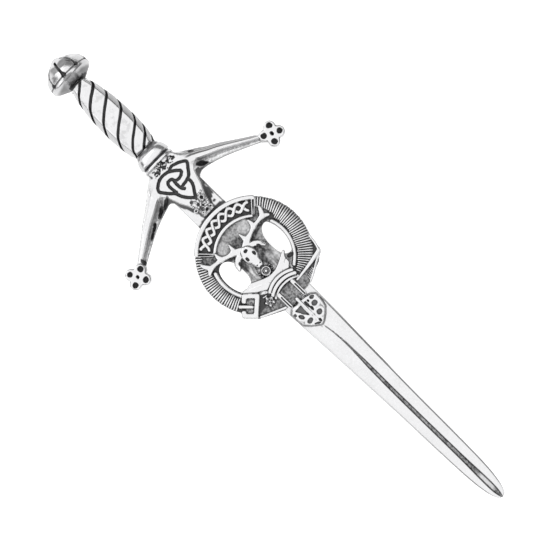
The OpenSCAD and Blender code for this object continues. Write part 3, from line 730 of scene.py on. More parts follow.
def terminal_pits(x, y, z):
    wobble = 0.1 * grain(x, y, 0.5, 71)
    x, y = terminal_place(x, y)
    out = np.hypot(x * 1.5, y) - PIT_R * 0.7 + wobble
    for cos, sin in map(unit, LOBES):
        out = np.minimum(out, np.hypot(x - PIT_OUT * cos, y - PIT_OUT * sin) - PIT_R + wobble)
    return np.maximum(out, Z_BACK + GUARD_T * 0.4 - z)


def knot_gap(x, y, z):
    """Distance to the engraved lines of the knot."""
    near = np.inf
    for line in KNOT_LINES:
        rows = curve([[*place, 0, 0] for place in line], 3)
        near = np.minimum(near, path_gap(x, y, rows)[0])
    return near


def scoop_share(x, y, row):
    """Share of the way from the middle of a casting pit to its edge."""
    x0, y0, rx, ry, _ = row
    lean = -PIT_LEAN * np.sign(x0) * (x - x0)
    return np.hypot((x - x0) / rx, (y - y0 - lean) / ry)


def neck_pits(x, y, z):
    """Ragged pits under the collar."""
    ragged = 0.3 * grain(x, y, 0.36, 105) + 0.16 * grain(x, y, 0.2, 107)
    plan = np.hypot(np.maximum(np.abs(x - 0.15) - 1.9, 0), (y - Y_GUARD + 0.85) * 0.9) - 0.46 + ragged
    islands = 0.5 * (grain(x, y, 0.42, 108) + 0.7 * grain(x, y, 0.22, 109) - 0.05)
    return np.maximum(np.maximum(plan, islands), Z_GUARD - 0.4 - z)


def scoops(field):
    """Engraves the casting pits of the arms."""
    for row in SCOOP_PITS:
        x0, y0, rx, ry, dark = row

        def pit(x, y, z):
            return scoop_share(x, y, row) * ry + 0.3 * grain(x, y, 0.4, 11) * ry

        box = box_of((x0 - rx - 0.6, x0 + rx + 0.6), (y0 - 1.6, y0 + 1.6), (Z_BACK + 0.8, Z_GUARD + 1))
        field.engrave(pit, 2 * ry, 0.25 * dark, 2, box=box)


def lumpy_skin(field):
    """Lumps and rings on the tongue, and specks under the collar."""
    draw = np.random.RandomState(7).uniform
    for _ in range(30):
        depth = draw(8.3, 11.6)
        half = 2.1 - (depth - 7.9) * 0.3
        x0, r = draw(-half, half), draw(0.16, 0.34)
        up = draw(-0.16, 0.16)
        field.lump((x0, Y_GUARD - depth, Z_GUARD + up * 0.4), (r, r, r), 0.1, hollow=up <= -0.04)
    for x0, y0, r in TONGUE_RINGS:

        def eye(x, y, z):
            return np.maximum(np.hypot(x - x0, y - y0) - r, Z_GUARD - 0.5 - z)

        def ring(x, y, z):
            return hump(np.hypot(x - x0, y - y0) - r, 0.16, z, Z_GUARD - 0.7, Z_GUARD + 0.14, 3)

        box = box_of((x0 - 0.9, x0 + 0.9), (y0 - 0.9, y0 + 0.9), (Z_GUARD - 1, Z_GUARD + 0.4))
        field.carve(eye, 0.03, box)
        field.join(ring, 0.03, box)
    for _ in range(16):
        x0, y0, r = draw(-1.9, 2.2), Y_GUARD - draw(0.25, 1.0), draw(0.12, 0.24)
        field.lump((x0, y0, Z_GUARD - 0.1), (r, r, r / 0.6), 0.04)


def blade_seat(x, y, z):
    return np.maximum(np.maximum(np.abs(x) - BLADE_HALF - 2 * SEAM, y - Y_BODY), z - Z_BLADE - SEAM)


def tongue_stain(x, y, z):
    """Darkness of the lumpy tongue and of the foot of the body beside it."""
    lumpy = (0.02 + 1.05 * grain(x, y, 0.34, 31)) * within(y, Y_GUARD - 8.2, 0.8) * (np.abs(x) < 2.4)
    for x0, y0, r in TONGUE_RINGS:
        away = np.hypot(x - x0, y - y0)
        lumpy = np.where(away < r + 0.2, 0.0, np.maximum(lumpy, 0.7 * within(away, r + 0.42, 0.1)))
        lumpy = np.maximum(lumpy, 0.95 * within(away, r - 0.1, 0.08))
    low_end = 0.8 * step_up(Y_GUARD - 10.9 + 0.2 * grain(x, y, 0.4, 34) - y, 0, 0.3) * (z < Z_GUARD - 0.12)
    lumpy = np.maximum(lumpy, low_end * (np.abs(x) < 3)) * (z > Z_BLADE + 0.3)
    # Darkening of the foot of the body beside the blade: partly oxide in the crease, partly painted shade.
    beside = 0.9 * step_up(Z_GUARD - 0.16 + 0.12 * grain(x, y, 0.3, 33) - z, 0, 0.2)
    beside = beside * (y < Y_GUARD - 5.2) * (np.abs(x) < 4.2)
    return np.maximum(lumpy, beside * step_up(y + 0.2 * grain(x, y, 0.4, 32), 16.9, 17.2))


def arm_stain(x, y, z):
    """Darkness of the lines, the scoops and the pits of the arms, with painted shade on the right arm and on
    the lower sides.
    """
    pits = 0
    for row in SCOOP_PITS:
        reach = 1.15 + 0.3 * grain(x, y, 0.4, 11)
        pits = np.maximum(pits, row[4] * within(scoop_share(x, y, row), reach, 0.25))
    share, out = arm_place(x, y)[0], np.abs(x)
    # Painted shade: the right arm darker, with a grey band painted along its upper side.
    right_arm_shade = step_up(x, 3, 4)
    strokes = right_arm_shade * 0.85 * within(np.abs(share - 0.46), 0.12, 0.06)
    for level, dark in ARM_LINES:
        line = dark * within(np.abs(share - level), 0.09, 0.05)
        strokes = np.maximum(strokes, (0.25 + 0.75 * right_arm_shade) * line)
    ridge = 0.45 * within(np.abs(share + 0.16), 0.1, 0.08) * within(out, 11, 2)
    # Painted shade along the lower edge of an arm, darker near the body.
    low_side_shade = (0.5 + 0.4 * within(out, 7, 1)) * step_up(-0.84 - share, 0, 0.1)
    # Mottled darkening of the lower side of an arm: an uneven casting skin with painted shade, more on the
    # left arm.
    mottle = 0.16 + 0.2 * (x < 0) + 0.3 * grain(x, y, 0.3, 12) + 0.2 * grain(x, y, 0.14, 13)
    mottle = step_up(-0.15 - share, 0, 0.1) * mottle
    strokes = np.maximum.reduce([strokes, ridge, low_side_shade, mottle])
    strokes = strokes * (step_up(out, 3.4, 4.4) * within(out, 15.2, 0.5))
    holes = 0.97 * step_up(-terminal_pits(x, y, z + 0.6), -0.04, 0.06) * (out > 14)
    return np.maximum.reduce([pits, strokes, holes])


def guard_stain(x, y, z):
    knot = 0.97 * within(knot_gap(x, y, z), 0.31 + 0.09 * grain(x, y, 0.25, 17), 0.1)
    knot = knot * (z > Z_GUARD - 0.8) * (z < Z_GUARD + 0.3)
    neck = 0.95 * step_up(-neck_pits(x, y, z + 0.4), -0.12, 0.0) * (np.abs(z - Z_GUARD + 0.5) < 0.6)
    gap = 0.97 * within(np.abs(Y_COLLAR - y - 2.7), 0.17 + 0.1 * grain(x, y, 0.5, 16), 0.12)
    top_line = 0.6 + 0.4 * grain(x, y, 0.5, 9)
    top_line = top_line * within(Y_COLLAR - y, 0.84 + 0.1 * grain(x, y, 0.6, 10), 0.15)
    shoulders = 0
    for mark in SHOULDER_MARKS:
        away, width, dark = path_gap(x, y, mark)
        shoulders = np.maximum(shoulders, dark * within(away, width + 0.12 * grain(x, y, 0.3, 18), 0.14))
    parts = [tongue_stain(x, y, z), arm_stain(x, y, z)]
    return np.maximum.reduce([knot, neck, gap, top_line, shoulders] + parts)


def guard_bare(x, y, z):
    neck = 0.75 * within(np.abs(x), 3.6, 0.4) * within(np.abs(y - Y_GUARD + 0.5), 0.8, 0.3)
    return np.maximum(neck, 0.8 * step_up(np.abs(x), 14.6, 15))


def guard(material):
    """Collar, body with its knot, arms with their terminals, and the tongue."""
    field = Field(GUARD_LOW - (0, 1, 0), GUARD_HIGH, GUARD_GRID)
    deep, over = Z_BACK - 1, Z_GUARD + 1
    collar_box = box_of((-3.6, 3.6), (Y_GUARD - 0.4, Y_COLLAR + 0.3), (deep, COLLAR_Z + 3.6))
    field.join(collar_form, 0, collar_box)
    field.join(body_form, 0.1, box_of((-6, 6), (Y_GUARD - 12, Y_GUARD + 1), (deep, Z_GUARD + 0.6)))
    for side in (-1, 1):
        field.join(arm_form, 0.15, box_of((side * 1.5, side * 17.5), (17, 28.5), (deep, over)))
        end = box_of((side * 14, side * 19.6), (14.9, 21), (deep, over))
        field.join(terminal_form, 0.2, end)
        field.carve(terminal_pits, 0.12, end)
    front = box_of((-4.4, 4.4), (KNOT_Y - 4, KNOT_Y + 3), (Z_GUARD - 0.9, Z_GUARD + 0.5))
    field.engrave(knot_gap, KNOT_W, KNOT_DEEP, KNOT_POWER, box=front)
    scoops(field)
    neck = box_of((-3, 3), (Y_GUARD - 1.5, Y_GUARD + 0.4), (Z_GUARD - 1, Z_GUARD + 2))
    field.carve(neck_pits, 0.1, neck)
    lumpy_skin(field)
    field.carve(blade_seat, 0, box_of((-4, 4), (Y_GUARD - 13, Y_BODY + 1), (deep, Z_BLADE + 0.5)))
    field.flat_back(Z_BACK)
    return cast("guard_arms", "guard", field, guard_stain, material, bare=guard_bare)


# Blade

BLADE_L = Y_BODY - SEAM - Y_TIP
# Share of the length from the point up, share of the half width
BLADE_WIDTH = [
    [0, 0.03], [0.004, 0.2], [0.011, 0.31], [0.02, 0.4], [0.031, 0.47], [0.043, 0.52], [0.066, 0.595],
    [0.111, 0.66], [0.2, 0.715], [0.29, 0.75], [0.38, 0.81], [0.475, 0.875], [0.54, 0.935], [0.578, 0.965],
    [0.61, 0.985], [0.68, 1], [1, 1]
]
# Share of the length, width of the groove in millimetres
FULLER_WIDTH = [
    [0, 0.1], [0.012, 0.75], [0.03, 1.15], [0.06, 1.2], [0.09, 1.08], [0.12, 0.95], [0.2, 0.86], [0.33, 0.82],
    [0.42, 0.72], [0.45, 0.54], [0.49, 0.34], [0.53, 0.24], [0.56, 0.2], [0.6, 0.1], [1, 0.05]
]
# Share of the length, place of the groove beside the middle line
FULLER_X = [
    [0, -0.1], [0.3, -0.06], [0.4, 0.04], [0.45, 0.14], [0.493, 0.2], [0.516, 0.12], [0.538, 0],
    [0.561, -0.28], [0.6, -0.8], [1, -0.8]
]
FULLER_DEPTH = 0.42
# Share of the half width, share of the thickness
BEVEL = [[0, 1], [0.5, 0.995], [0.86, 0.97], [0.955, 0.88], [1, 0.5]]
FLAT_SIDE = [[0, 1], [0.955, 1], [1, 0.75]]
# Dark blots on the blade on the right of the tongue, painted shadow of the raised tongue: place, half sizes
TONGUE_SHADOW_BLOTS = [
    [2.9, 21.1, 0.4, 0.8], [2.25, 19.4, 0.7, 1.25], [2.05, 18.3, 0.5, 0.4], [2.0, 16.2, 0.9, 0.35],
    [2.05, 17.25, 0.26, 0.26]
]


def beside_tongue(x, y):
    """Darkening on the blade beside the tongue of the guard: a dark seam along its outline, partly oxide and
    partly painted shade, and painted shadow on its right and along the rim of the badge.
    """
    outline = mirrored_gap(x, y, BODY_OUTLINE)
    # Dark seam along the outline of the tongue: partly oxide, partly painted shade at its foot.
    seam = 0.9 * within(outline, 0.16 + 0.12 * grain(x, y, 0.5, 61), 0.15) * (y < Y_GUARD - 6)
    # Painted shadow of the raised tongue on the blade's right side, broken into blots.
    tongue_shadow_blots = 0
    for x0, y0, rx, ry in TONGUE_SHADOW_BLOTS:
        away = np.hypot((x - x0) / rx, (y - y0) / ry) + 0.3 * grain(x, y, 0.35, 62)
        tongue_shadow_blots = np.maximum(tongue_shadow_blots, 0.95 * within(away, 1.1, 0.25))
    # Painted contact shadow on the blade along the rim of the badge.
    rim = np.hypot(x, y - Y_BADGE) - BADGE_R + 0.15 * grain(x, y, 0.4, 63)
    shade = 0.92 * within(rim, 0.55 + 0.2 * step_up(x, 1, 2), 0.15) * (y > Y_BADGE)
    # Painted shade along the right edge of the blade, and painted shadow of the tongue on its right.
    right_edge_shade = 0.75 * within(np.abs(x - 3.02), 0.12, 0.06) * (y > 15.9) * (y < 22)
    tongue_shadow_right = 0.45 * within(outline, 1.0, 0.5) * (x > 0) * step_up(y, 18, 19) * (y < Y_GUARD - 5.4)
    return np.maximum.reduce([seam, tongue_shadow_blots, shade, right_edge_shade, tongue_shadow_right])


def blade(material):
    """A ground blade with rounded edges, a bevel on each side and a groove down the middle."""
    rings = 440
    edges = (-1, -0.93, 5), (-0.91, 0.91, 67), (0.93, 1, 5)
    across = np.concatenate([np.linspace(*part) for part in edges])
    s = np.linspace(0, 1, rings)[:, None] ** 1.15
    half, width, groove_x = (
        np.array([[lookup(share, rows)] for share in s.flat])
        for rows in (BLADE_WIDTH, FULLER_WIDTH, FULLER_X)
    )
    x, y = across * (BLADE_HALF * half), Y_TIP + s * BLADE_L + 0 * across
    hidden = step_up(s, 0.6, 0.64)
    full = BLADE_T * (0.55 + 0.45 * step_up(s, -0.002, 0.005))
    bevel, flat = (np.interp(np.abs(across), *np.transpose(rows)) for rows in (BEVEL, FLAT_SIDE))
    height = full * (bevel * (1 - hidden) + flat * hidden)
    in_groove = np.clip(1 - np.abs(x - groove_x) / np.maximum(width / 2, 0.05), 0, 1)
    height = height - FULLER_DEPTH * step_up(width, 0.05, 0.6) * (1 - hidden) * step_up(in_groove, 0, 0.55)
    top = np.stack([x, y, Z_BACK + np.maximum(height, 0.05)], axis=2)
    low = top[:, [-1, -3, len(across) // 2, 2, 0]]
    low[..., 2] = Z_BACK + np.array([0.12, 0, 0, 0, 0.12])
    rows = np.concatenate([top, low], axis=1)
    line = step_up(in_groove, 0.02, 0.25) * step_up(width, 0.03, 0.12) * (1 - hidden)
    bare = 0.7 * step_up(in_groove, 0.25, 0.45) * step_up(-s, -0.085, -0.065) * step_up(s, 0.02, 0.035)
    speckle = 0.22 * grain(x, y, 0.16, 51) + 0.2 * grain(x, y, 0.4, 52)
    dark = line * (0.7 + 0.16 * step_up(x - groove_x, 0, 0.3) + speckle) * (1 - bare)
    # Painted shade on the right bevel of the blade, strongest along its middle part.
    side = (0.1 + 0.75 * step_up(s, 0.37, 0.41) * step_up(-s, -0.62, -0.5)) * step_up(across, 0.93, 0.965)
    patina_and_shade = np.maximum.reduce([dark, side, beside_tongue(x, y)])
    patina_and_shade = np.concatenate([patina_and_shade, np.full((rings, 5), 0.2)], axis=1).ravel()
    count = rows.shape[1]
    corners = np.vstack([rows.reshape(-1, 3), rows[0].mean(axis=0), rows[-1].mean(axis=0)])
    j = np.arange(count)
    k, tip = (j + 1) % count, rings * count
    caps = [[k, j, 0 * j + tip], [tip - count + j, tip - count + k, 0 * j + tip + 1]]
    faces = np.vstack([halves(quads(rings, count, closed=True))] + [np.transpose(cap) for cap in caps])
    patina_and_shade = np.append(patina_and_shade, [0, 0])
    return make_piece("blade_ground", "blade", corners, faces[:, ::-1], patina_and_shade, 0 * patina_and_shade, material)


# Badge: places on it are counted from its middle, and shares are shares of the strap's inner radius

BADGE_FOOT = Z_PLATE - 0.1
HEAD_H = Z_STAG - Z_PLATE
LOWER_EDGE = [
    [-0.86, -0.52], [-0.71, -0.8], [-0.3, -1.01], [0.26, -1.0], [0.69, -0.84], [0.85, -0.7], [0.87, -0.5]
]
# Middles and half sizes of the openings beside the head, as shares
OPENINGS = [[-0.74, -0.03, 0.28, 0.46], [0.755, -0.1, 0.28, 0.49]]
# Middle of the rail beside each opening, outward from the inner radius of the strap
RAIL_OUT = {-1: 0.56, 1: -0.1}
# The right rail bends round a place this far under the middle
RAIL_DROP = 0.35
# Angle, start of the ribs outward from the inner radius of the strap
RIB_START = [
    [-66, 0.6], [-46, 0.45], [-20, 0.2], [15, 0.2], [19, 0.7], [30, 1.1], [44, 1.3], [136, 2.1], [148, 1.9],
    [157, 1.2], [161, 0.84]
]
# Share of the half width of a rib, share of its height
RIB_SECTION = [[-1, 0], [-0.9, 0.6], [-0.72, 1], [0.72, 1], [0.9, 0.6], [1, 0]]
# Share of the length of a rib, share of its width, share of its height
RIB_TAPER = [
    [0, 0.55, 0], [0.02, 0.8, 0.55], [0.05, 0.95, 0.85], [0.1, 1, 1], [0.5, 1, 1], [0.93, 1, 1],
    [0.97, 0.95, 0.85], [0.99, 0.8, 0.55], [1, 0.55, 0]
]
# Rows of x, y, half width and height, as shares of the inner radius of the strap and of the head's height
STAG_X = -0.075
ANTLER_BEAM = [
    [0.02, 0.27, 0.1, 0.76], [0.14, 0.34, 0.1, 0.74], [0.26, 0.4, 0.09, 0.7], [0.41, 0.445, 0.055, 0.68],
    [0.57, 0.505, 0.065, 0.64], [0.74, 0.53, 0.05, 0.62], [0.9, 0.54, 0.07, 0.6], [1.0, 0.5, 0.06, 0.56],
    [1.06, 0.455, 0.04, 0.52]
]
ANTLER_TINES = [
    [[0.22, 0.4, 0.11, 0.7], [0.2, 0.51, 0.06, 0.66], [0.185, 0.63, 0.028, 0.56]],
    [[0.58, 0.52, 0.09, 0.62], [0.6, 0.61, 0.065, 0.6], [0.595, 0.72, 0.03, 0.52]],
    [[0.92, 0.54, 0.08, 0.58], [0.99, 0.65, 0.07, 0.56], [1.04, 0.76, 0.04, 0.5]],
]
EAR = [
    [0.15, 0.22, 0.07, 0.76], [0.27, 0.215, 0.09, 0.74], [0.38, 0.13, 0.09, 0.68], [0.45, 0.0, 0.045, 0.54]
]
FACE = [
    [0, 0.2, 0.15, 0.88], [0, 0.13, 0.2, 0.95], [0, 0.03, 0.2, 0.97], [0, -0.07, 0.14, 0.98],
    [0, -0.19, 0.12, 0.96], [0, -0.26, 0.1, 0.88]
]
# Pits on both sides of the head: place, radii, depth, level
FACE_PITS = [
    [0.12, 0.04, 0.25, 0.42, 0.4, 0.95], [0.055, -0.24, 0.13, 0.12, 0.3, 0.95],
    [0.32, 0.07, 0.36, 0.5, 0.5, 0.72]
]
LEAF_OUTLINE = [
    [0.94, -0.42], [0.74, -0.45], [0.56, -0.43], [0.42, -0.5], [0.26, -0.58], [0.12, -0.63], [-0.02, -0.64],
    [-0.02, -0.8], [0.39, -0.85], [0.64, -0.7], [0.84, -0.52]
]
RIGHT_LEAF = [[0.62, -0.47], [0.6, -0.42]] + LEAF_OUTLINE[2:9] + [[0.5, -0.76], [0.52, -0.58], [0.57, -0.52]]
LEAF_VEIN = [[0.4, -0.68], [0.55, -0.6], [0.72, -0.53]]
BOSS_Y, BOSS_R = -0.49, 0.72
# The bars of the wreath bend round a place this far under the middle: step out, half width, height
WREATH_CENTRE, WREATH_BEND = 1.56, 0.75
WREATH_BARS = [[0.008, 0.31, 0.72], [0.118, 0.35, 0.66], [0.225, 0.24, 0.52]]
# The gaps between them, from that place
WREATH_GAPS = [0.797, 0.691, 0.571]
BUCKLE_TURN = 221
# The frame of the buckle and its prong: places along and across its length
BUCKLE_FRAME = [[8.0, -1.3], [7.15, -1.3], [6.95, 0.95], [10.4, 0.93], [10.5, -1.1], [10.0, -1.15]]
BUCKLE_PRONG = [[8.98, -1.9], [8.9, 0.1]]
# Ridges of the lower strap, by power and smoothness: rows of x, y, half width and height over the rim
LOWER_RIDGES = [
    (4, 0, [[-6.75, -8.2, 0.24, 0.1], [-2.6, -10.15, 0.24, 0.1]]),
    (3, 0, [[-4.2, -6.2, 0.15, 0], [-3.5, -6.35, 0.15, 0]]),
    (5, 5, [[2.15, -8.2, 0.24, 0.2], [4.2, -8.0, 0.28, 0.25], [6.1, -7.75, 0.36, 0.25],
            [8.35, -7.3, 0.36, 0.2]]),
    (4, 5, [[9.0, -4.4, 0.22, 0.1], [8.75, -6.0, 0.24, 0.12], [8.4, -7.1, 0.26, 0.12]]),
    (4, 5, [[8.3, -7.65, 0.2, 0], [6.6, -8.4, 0.22, 0], [4.9, -9.4, 0.22, 0], [3.5, -10.05, 0.2, -0.05]])
]
ROSETTE = STRAP_MID * 0.98 * unit(243)
TAIL_X, TAIL_HALF = -0.3, 1.66
TAIL_TOP, TAIL_LOW = -STRAP_IN * 1.09, -BADGE_R * 0.72 - 3.4
CHAPE_OUTLINE = [
    (-3.1, -11.6), (-3.1, -13.0), (-3.0, -14.5), (-2.15, -15.5), (-1.3, -16.2), (-0.35, -16.9), (0.45, -16.6),
    (1.45, -15.9), (2.5, -14.9), (2.85, -13.5), (2.9, -12.0), (2.15, -11.35), (1.1, -11.0), (0.1, -10.85),
    (-0.95, -10.85), (-2.3, -11.0)
]
# Hollows that leave the loops of the tip standing: place, half sizes, turn
CHAPE_HOLLOWS = [
    [-2.55, -12.3, 0.24, 0.3, 0], [-1.95, -13.25, 0.3, 0.52, 25], [-1.35, -14.7, 0.52, 0.4, 0],
    [0.3, -12.3, 0.22, 0.6, 0], [1.75, -12.05, 0.42, 0.3, -15], [0.85, -12.05, 0.18, 0.26, 0],
    [1.35, -13.1, 0.5, 0.46, 0], [0.42, -13.45, 0.22, 0.4, 0], [0.85, -14.75, 0.48, 0.42, 20],
    [0.0, -15.85, 0.17, 0.34, 0], [2.65, -13.7, 0.16, 0.8, -8], [-0.7, -15.95, 0.6, 0.13, -30]
]
CHAPE_WEDGE = [(-2.0, -11.8), (-0.72, -11.75), (-0.72, -13.9), (-1.4, -13.0)]
# The stem of the tip and its branch, as the ridges above
CHAPE_STEM = [
    (4, 5, [[-0.28, -10.5, 0.4, 0.16], [-0.3, -11.4, 0.32, 0.14], [-0.25, -15.2, 0.24, 0.05]]),
    (4, 0, [[-2.2, -11.05, 0.22, 0.05], [-0.8, -11.5, 0.22, 0.05]])
]


def badge_ridge(field, rows, power=3.2, blend=0.06, smooth=0):
    """Joins a ridge along rows of x, y, half width and top, with more rows between them to smooth it."""
    rows = curve(rows, smooth) if smooth else np.array(rows, float)
    pad = rows[:, 2].max() + 0.4
    low, high = rows.min(axis=0) - pad, rows.max(axis=0) + pad

    def form(x, y, z):
        gap, half, top = path_gap(x, y - Y_BADGE, rows)
        return hump(gap, half, z, BADGE_FOOT, top, power)

    box = ([low[0], Y_BADGE + low[1], BADGE_LOW[2] - 1], [high[0], Y_BADGE + high[1], rows[:, 3].max() + 0.4])
    field.join(form, blend, box)


def share_ridge(field, rows, power, side=1):
    """Joins a ridge given in shares, on one side of the head's middle line."""
    placed = [
        [(STAG_X + side * x) * STRAP_IN, y * STRAP_IN, w * STRAP_IN, Z_PLATE + h * HEAD_H]
        for x, y, w, h in rows
    ]
    badge_ridge(field, placed, power, smooth=5)


def rim_ridges(field, table):
    for power, smooth, rows in table:
        badge_ridge(field, [[x, y, half, Z_RIM + up] for x, y, half, up in rows], power, smooth=smooth)


def badge_arc(field, radius, first, last, half, top, power=3.2, centre=(0, 0), blend=0.06):
    reach = radius + half + 0.4

    def form(x, y, z):
        return hump(arc_gap(x, y - Y_BADGE, radius, first, last, centre), half, z, BADGE_FOOT, top, power)

    x0, y0 = centre[0], Y_BADGE + centre[1]
    box = ([x0 - reach, y0 - reach, BADGE_LOW[2] - 1], [x0 + reach, y0 + reach, top + 0.4])
    field.join(form, blend, box)


def ball(field, x, y, radii, top, low=-0.35, blend=0.12):
    """Joins a round lump by its place and radii in shares; top is its height."""
    tall = top * HEAD_H - low
    centre = (x * STRAP_IN, Y_BADGE + y * STRAP_IN, Z_PLATE + low)
    field.lump(centre, (radii[0] * STRAP_IN, radii[1] * STRAP_IN, tall), blend)


def dent(field, x, y, rx, ry, deep, top):
    """Carves a small round pit, with its place in shares, and notes it for the stain."""
    centre = (x * STRAP_IN, Y_BADGE + y * STRAP_IN, Z_PLATE + top * HEAD_H)
    field.pits.append((*centre, rx, ry))
    field.lump(centre, (rx, ry, deep), 0.05, hollow=True)


def opening_plan(x, y):
    """The openings beside the head."""
    near = np.inf
    for cx, cy, rx, ry in OPENINGS:
        dx, dy = np.abs(x / STRAP_IN - cx) / rx, np.abs(y / STRAP_IN - cy) / ry
        power = np.where(y / STRAP_IN > cy, 2.1, 2.7)
        near = np.minimum(near, ((dx**power + dy**power) ** (1 / power) - 1) * rx * STRAP_IN)
    edge = STRAP_IN + np.where(x < 0, RAIL_OUT[-1] - 0.56, RAIL_OUT[1] - 0.38)
    return soft_max(near, np.hypot(x, y + RAIL_DROP * (x > 0)) - edge, 0.2)


def plate_form(x, y, z):
    uneven = 0.05 * grain(x, y, 0.24, 41) * (np.hypot(x, y - Y_BADGE) < STRAP_IN)
    y = y - Y_BADGE
    lower = polygon_gap(x, y, [(px * BADGE_R, py * BADGE_R) for px, py in LOWER_EDGE])
    plan = soft_max(soft_min(np.hypot(x, y) - BADGE_R * 0.985, lower, 0.1), -opening_plan(x, y), 0.05)
    return slab(plan, z, BADGE_LOW[2], Z_PLATE + uneven, 0.06)


def band(field):
    """The plaited band at the top of the strap, between two rims."""
    left, right = 90 + BAND_HALF, 90 - BAND_HALF
    badge_arc(field, BADGE_R - 0.4, right - 1, left + 1, 0.42, Z_RIM + 0.14, 5)
    badge_arc(field, STRAP_IN - 0.06, right + 1, left - 1, 0.33, Z_RIM + 0.14, 4)
    for side in (-1, 1):
        for k, half in ((0, 0.17), (1, 0.13)):
            out = unit(90 + side * (BAND_HALF + 2.9 * k))
            ends = [STRAP_IN + 0.2, BADGE_R - 0.4]
            badge_ridge(field, [[*(out * r), half, Z_RIM + 0.05] for r in ends])
    crossings, pieces, sweep = 7, 12, BAND_HALF - 5
    for side in (-1, 1):
        rows = []
        for i in range(crossings * pieces + 1):
            phase = math.pi * i / pieces
            r = STRAP_MID - 0.11 + side * STRAP_W * 0.2 * math.cos(phase)
            out = unit(90 - sweep + 2 * sweep * i / (crossings * pieces))
            rows.append([*(r * out), 0.33, Z_RIM + 0.02 + side * 0.08 * math.sin(phase)])
        badge_ridge(field, rows, 4, 0.02)


def rib_spans():
    """Angle, inner end and outer end of each rib of the strap."""
    ends = []
    for first, last in ((-46, 44.5), (136, 208.5)):
        ends += [(a, BADGE_R - 0.06) for a in np.arange(first, last, RIB_STEP)]
    for a in np.arange(-46 - RIB_STEP, -66, -RIB_STEP):
        ends.append((a, BADGE_R * 0.75 / abs(math.sin(math.radians(a)))))
    return [(a, STRAP_IN + float(np.interp(a, *np.transpose(RIB_START))), end) for a, end in ends]


def ribs(material):
    """The radial ribs of the strap, each a bar with a flat top and rounded ends."""
    across, height = np.transpose(RIB_SECTION)
    along, taper, crown = np.transpose(RIB_TAPER)[..., None]
    rise = height * crown
    draw = np.random.RandomState(17).uniform
    corners, faces = [], []
    for angle, start, end in rib_spans():
        angle = angle + draw(-0.15, 0.15)
        start, end = start + draw(-0.12, 0.16), end - draw(0, 0.12)
        r = start + along * (end - start)
        half = across * (math.radians(RIB_STEP) * r * 0.36 * taper)
        out, aside = unit(angle), unit(angle + 90)
        plan = r[..., None] * out + half[..., None] * aside + (0, Y_BADGE)
        corners.append(np.dstack([plan, BADGE_FOOT + (Z_RIM - 0.02 - BADGE_FOOT) * rise]).reshape(-1, 3))
        faces.append(len(faces) * rise.size + quads(*rise.shape)[:, [0, 3, 2, 1]])
    patina_and_shade = np.tile(np.where(rise > 0.8, 0.0, np.where(rise > 0.4, 0.35, 0.95)).ravel(), len(faces))
    make_piece("strap_ribs", "badge", np.concatenate(corners), np.vstack(faces), patina_and_shade, 0 * patina_and_shade, material)


def rails(field):
    """The smooth inner rims beside the openings."""
    badge_arc(field, STRAP_IN + RAIL_OUT[1], -57, 20, 0.36, Z_RIM + 0.04, 4, (0, -RAIL_DROP))
    badge_arc(field, STRAP_IN + RAIL_OUT[-1], 160, 209, 0.38, Z_RIM + 0.04, 4)


def stag(field):
    """A plain stag's head seen from the front, with spread antlers."""
    ball(field, STAG_X, -0.4, (0.2, 0.24), 0.3)
    share_ridge(field, FACE, 7)
    for side in (-1, 1):
        share_ridge(field, EAR, 4, side)
        share_ridge(field, ANTLER_BEAM, 6, side)
        for tine in ANTLER_TINES:
            share_ridge(field, tine, 5, side)
        for k in range(6):
            ball(field, STAG_X + side * (0.13 + 0.012 * k), -0.22 - 0.055 * k, (0.03, 0.024), 0.5, -0.1, 0.03)
    for side in (-1, 1):
        for x, *pit in FACE_PITS:
            dent(field, STAG_X + side * x, *pit)
    dent(field, STAG_X, 0.22, 0.36, 0.28, 0.35, 0.88)
    dent(field, STAG_X, -0.34, 0.55, 0.22, 0.4, 0.84)


def leaves(field):
    for side, rows in ((-1, LEAF_OUTLINE), (1, RIGHT_LEAF)):
        outline = [(side * x * STRAP_IN, y * STRAP_IN) for x, y in rows]
        vein = np.array([[side * x * STRAP_IN, y * STRAP_IN, 0, 0] for x, y in LEAF_VEIN])

        def leaf(x, y, z):
            plan = polygon_gap(x, y - Y_BADGE, outline)
            top = Z_PLATE + 0.6 * HEAD_H + 0.1 * np.minimum(-plan, 0.5)
            return slab(plan, z, BADGE_FOOT, top, 0.16)

        def vein_gap(x, y, z):
            return path_gap(x, y - Y_BADGE, vein)[0]

        xs = (-side * 0.4, side * (STRAP_IN + 0.4))
        field.join(leaf, 0.06, box_of(xs, (Y_BADGE - 6.3, Y_BADGE - 2.4), (Z_PLATE - 0.3, Z_STAG)))
        low, high = vein.min(axis=0) - 0.3, vein.max(axis=0) + 0.3
        box = box_of((low[0], high[0]), (Y_BADGE + low[1], Y_BADGE + high[1]), (Z_PLATE, Z_STAG))
        field.engrave(vein_gap, 0.16, 0.08, box=box)


